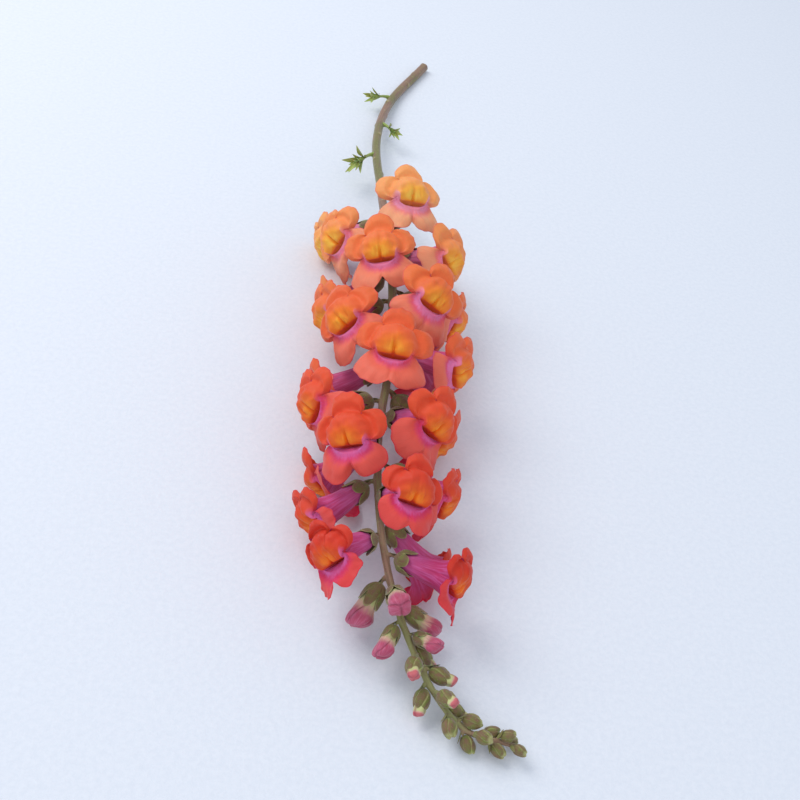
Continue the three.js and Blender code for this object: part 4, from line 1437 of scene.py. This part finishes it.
upper_back = w.blend(w.step(w.strayed(lip, streaks, 0.5), 0.5, 1.0), given["Back"], given["Edge"])
lower_back = w.blend(w.step(w.strayed(lip, streaks, 0.3), 0.1, 0.7), given["Back"], given["Lobe"])
pale_tube = w.coats(
    given["Tube"],
    (w.step(long_streaks, 0.4, 0.72), 0.55, given["Lilac"]),
    (base, 0.7, given["Lilac"]))
back = w.blend(tube, w.blend(upper, lower_back, upper_back), pale_tube)

w.feed(result["Color"], w.tints(
    w.blend(outside, face, back),
    (w.step(fine, 0.48, 0.72), 0.14, (0.74, 0.5, 0.52, 1)),
    # painted shade: the palate's furrow and folds are darkened and deepened in hue
    (crease, 0.5, (0.9, 0.5, 0.3, 1)),
    (w.step(cloud, 0.4, 0.75), 0.3, (1.16, 1.08, 1.06, 1)),
    (w.step(patches, 0.45, 0.75), 0.4, (0.86, 0.74, 0.76, 1))))
height = w.plus(w.times(fine, 0.45), w.times(streaks, 0.35))
w.feed(result["Height"], w.plus(height, w.times(grain, 0.2)))
w.feed(result["Roughness"], w.plus(0.44, w.times(cloud, 0.25)))
petal_paint = w.tree
print("group", petal_paint.name, "with", len(petal_paint.nodes), "nodes")

# %% Petal materials
petal_materials = {}
for number, slot_name in enumerate(("petal_red", "petal_coral", "petal_apricot")):
    material, w, shader = new_material(
        slot_name, Subsurface_Weight=0.25, Subsurface_Scale=0.0012, Subsurface_Radius=(1.0, 0.35, 0.25),
        Sheen_Weight=0.05, Sheen_Roughness=0.4, Specular_IOR_Level=0.35)
    group = w.node("ShaderNodeGroup", node_tree=petal_paint)
    for label, colors in PETAL_COLORS.items():
        young, old = colors[number:number + 2]
        w.feed(group.inputs[label], w.blend(w.mark("age"), linear(*young), linear(*old)))
    w.feed(shader.inputs["Base Color"], group.outputs["Color"])
    w.feed(shader.inputs["Roughness"], group.outputs["Roughness"])
    relief(w, shader, group.outputs["Height"], 0.35, 0.0004)
    petal_materials[slot_name] = material
for flower, slot_name in zip(flowers, SLOT_OF):
    flower.data.materials.append(petal_materials[slot_name])
print("petal materials:", list(petal_materials))

# %% [markdown]
# ## The pink buds' finish
# A bud's petals are pink and streaked, with shade painted darker where they fold over each other, and pass
# through cream to pale green at the foot, inside the calyx. The tips that show in green buds are more coral,
# which their mark tells. The group of the open petals isn't used, because a folded bud has no face, throat or
# margin yet.

# %% Bud material
bud_petal, w, shader = new_material(
    "bud_petal", Subsurface_Weight=0.2, Subsurface_Scale=0.0012, Subsurface_Radius=(1.0, 0.4, 0.3),
    Sheen_Weight=0.2)
streaks = w.noise(w.veins(), 1.0, 3.0, 0.5)
along = w.strayed(w.mark("along"), streaks, 0.3)
w.feed(shader.inputs["Base Color"], w.coats(
    linear(188, 72, 106),
    (w.step(streaks, 0.42, 0.7), 0.5, linear(212, 128, 158)),
    (w.step(w.noise(w.place(), 140.0), 0.45, 0.7), 0.5, linear(164, 50, 80)),
    (w.mark("coral"), 0.75, linear(204, 104, 102)),
    (w.step(along, 0.7, 0.44), 1, linear(212, 172, 150)),
    (w.step(along, 0.46, 0.3), 1, linear(198, 200, 136)),
    # painted shade where the petals lap over and meet each other
    (w.mark("crease"), 0.7, linear(140, 44, 72))))
w.feed(shader.inputs["Roughness"], w.plus(0.45, w.times(streaks, 0.2)))
relief(w, shader, streaks, 0.4, 0.0004)
for piece in pink_buds + [petal_tips]:
    piece.data.materials.append(bud_petal)
print("material:", bud_petal.name)

# %% [markdown]
# ## Green finishes
# Sepals, stalk, leaves and bracts are all green, but none is one green. Sun reddens the stalk in stretches,
# sepals are olive with pale edges, and the bracts turn brown at their tips. They share their softness and
# grain, so one function builds the material, and each piece has its own function for the coats.

# %% Green finishes
def green_material(name, paint_of, **constants):
    """A soft green skin. paint_of lays its coats, given the wiring and a cloudy noise."""
    material, w, shader = new_material(name, Sheen_Weight=0.25, Sheen_Roughness=0.5, **constants)
    cloud = w.noise(w.place(), 420.0, 4.0)
    grain = w.noise(w.place(), 3200.0, 2.0)
    w.feed(shader.inputs["Base Color"], paint_of(w, cloud))
    w.feed(shader.inputs["Roughness"], w.plus(0.45, w.times(cloud, 0.3)))
    relief(w, shader, w.plus(w.times(cloud, 0.5), w.times(grain, 0.5)), 0.5, 0.0003)
    return material


def sepal_paint(w, cloud):
    streaks = w.noise(w.veins(), 1.0, 3.0)
    return w.coats(
        linear(116, 104, 52),
        (w.step(streaks, 0.35, 0.7), 1, linear(126, 84, 64)),
        (w.step(cloud, 0.42, 0.72), 1, linear(112, 124, 46)),
        (w.step(w.mark("rib"), 0.6, 1.0), 0.35, linear(112, 74, 64)),
        (w.times(w.mark("edge"), w.step(cloud, 0.2, 0.6)), 0.85, linear(186, 196, 120)),
        (w.step(w.mark("tip"), 0.84, 1.0), 0.4, linear(186, 182, 124)))


def stalk_paint(w, cloud):
    streaks = w.noise(w.veins(), 1.0, 4.0)
    along = w.mark("along")
    stretches = w.strayed(w.noise(w.place(), 26.0, 2.0), streaks, 0.4)
    return w.coats(
        linear(146, 146, 90),
        (w.step(along, 0.02, 0.3), 1, linear(132, 130, 78)),
        (w.step(along, 0.5, 0.8), 1, linear(112, 108, 44)),
        (w.step(stretches, 0.4, 0.58), 0.8, linear(152, 106, 94)),
        (w.step(streaks, 0.45, 0.7), 0.5, linear(84, 68, 38)),
        (w.step(cloud, 0.5, 0.8), 0.4, linear(166, 168, 112)),
        (w.mark("scar"), 1, linear(168, 152, 104)),
        (w.mark("cut"), 1, linear(196, 200, 150)))


def leaf_paint(w, cloud):
    return w.coats(
        linear(142, 160, 74),
        (w.mark("rise"), 1, linear(162, 186, 92)),
        (w.mark("tone"), 0.5, linear(126, 152, 64)),
        (w.step(cloud, 0.4, 0.75), 0.4, linear(168, 186, 96)),
        (w.mark("midrib"), 0.6, linear(184, 196, 120)))


def bract_paint(w, cloud):
    return w.coats(
        linear(138, 146, 76),
        (w.mark("rise"), 1, linear(124, 104, 64)),
        (w.step(cloud, 0.4, 0.75), 0.5, linear(150, 162, 86)),
        (w.mark("midrib"), 0.5, linear(150, 146, 88)))


sepal_skin = green_material("sepal_skin", sepal_paint)
stalk_skin = green_material("stalk_skin", stalk_paint)
leaf_skin = green_material("leaf_skin", leaf_paint, Subsurface_Weight=0.15, Subsurface_Scale=0.001)
bract_skin = green_material("bract_skin", bract_paint)
print("green finishes:", sepal_skin.name, stalk_skin.name, leaf_skin.name, bract_skin.name)

# %% Hairs' material, and which piece has which
hair_skin, w, shader = new_material("hair_skin", Roughness=0.4)
w.feed(shader.inputs["Base Color"], w.coats(
    linear(196, 184, 160), (w.noise(w.place(), 300.0), 1, linear(214, 196, 180))))
for piece, material in (
    (main_stalk, stalk_skin), (pedicels, stalk_skin), (calyces, sepal_skin), (green_buds, sepal_skin),
    (bracts, bract_skin), (stem_hairs, hair_skin),
):
    piece.data.materials.append(material)
for shoot in shoots:
    shoot.data.materials.append(leaf_skin)
print("materials:", len(bpy.data.materials))

# %% [markdown]
# ## The table's finish
# The table is matt and almost white, with the faintest cloth-like grain, so that it takes the stem's soft
# shadow and the sky's blue without drawing the eye.

# %% Table material
table_finish, w, shader = new_material("pale_table", Roughness=0.7, Specular_IOR_Level=0.2)
fibres = w.noise(w.place(), 420.0, 4.0, 0.7)
w.feed(shader.inputs["Base Color"], w.coats(
    linear(226, 231, 240), (w.step(fibres, 0.3, 0.7), 1, linear(232, 236, 244))))
relief(w, shader, fibres, 0.25, 0.0008)
table.data.materials.append(table_finish)
print("table:", table_finish.name)
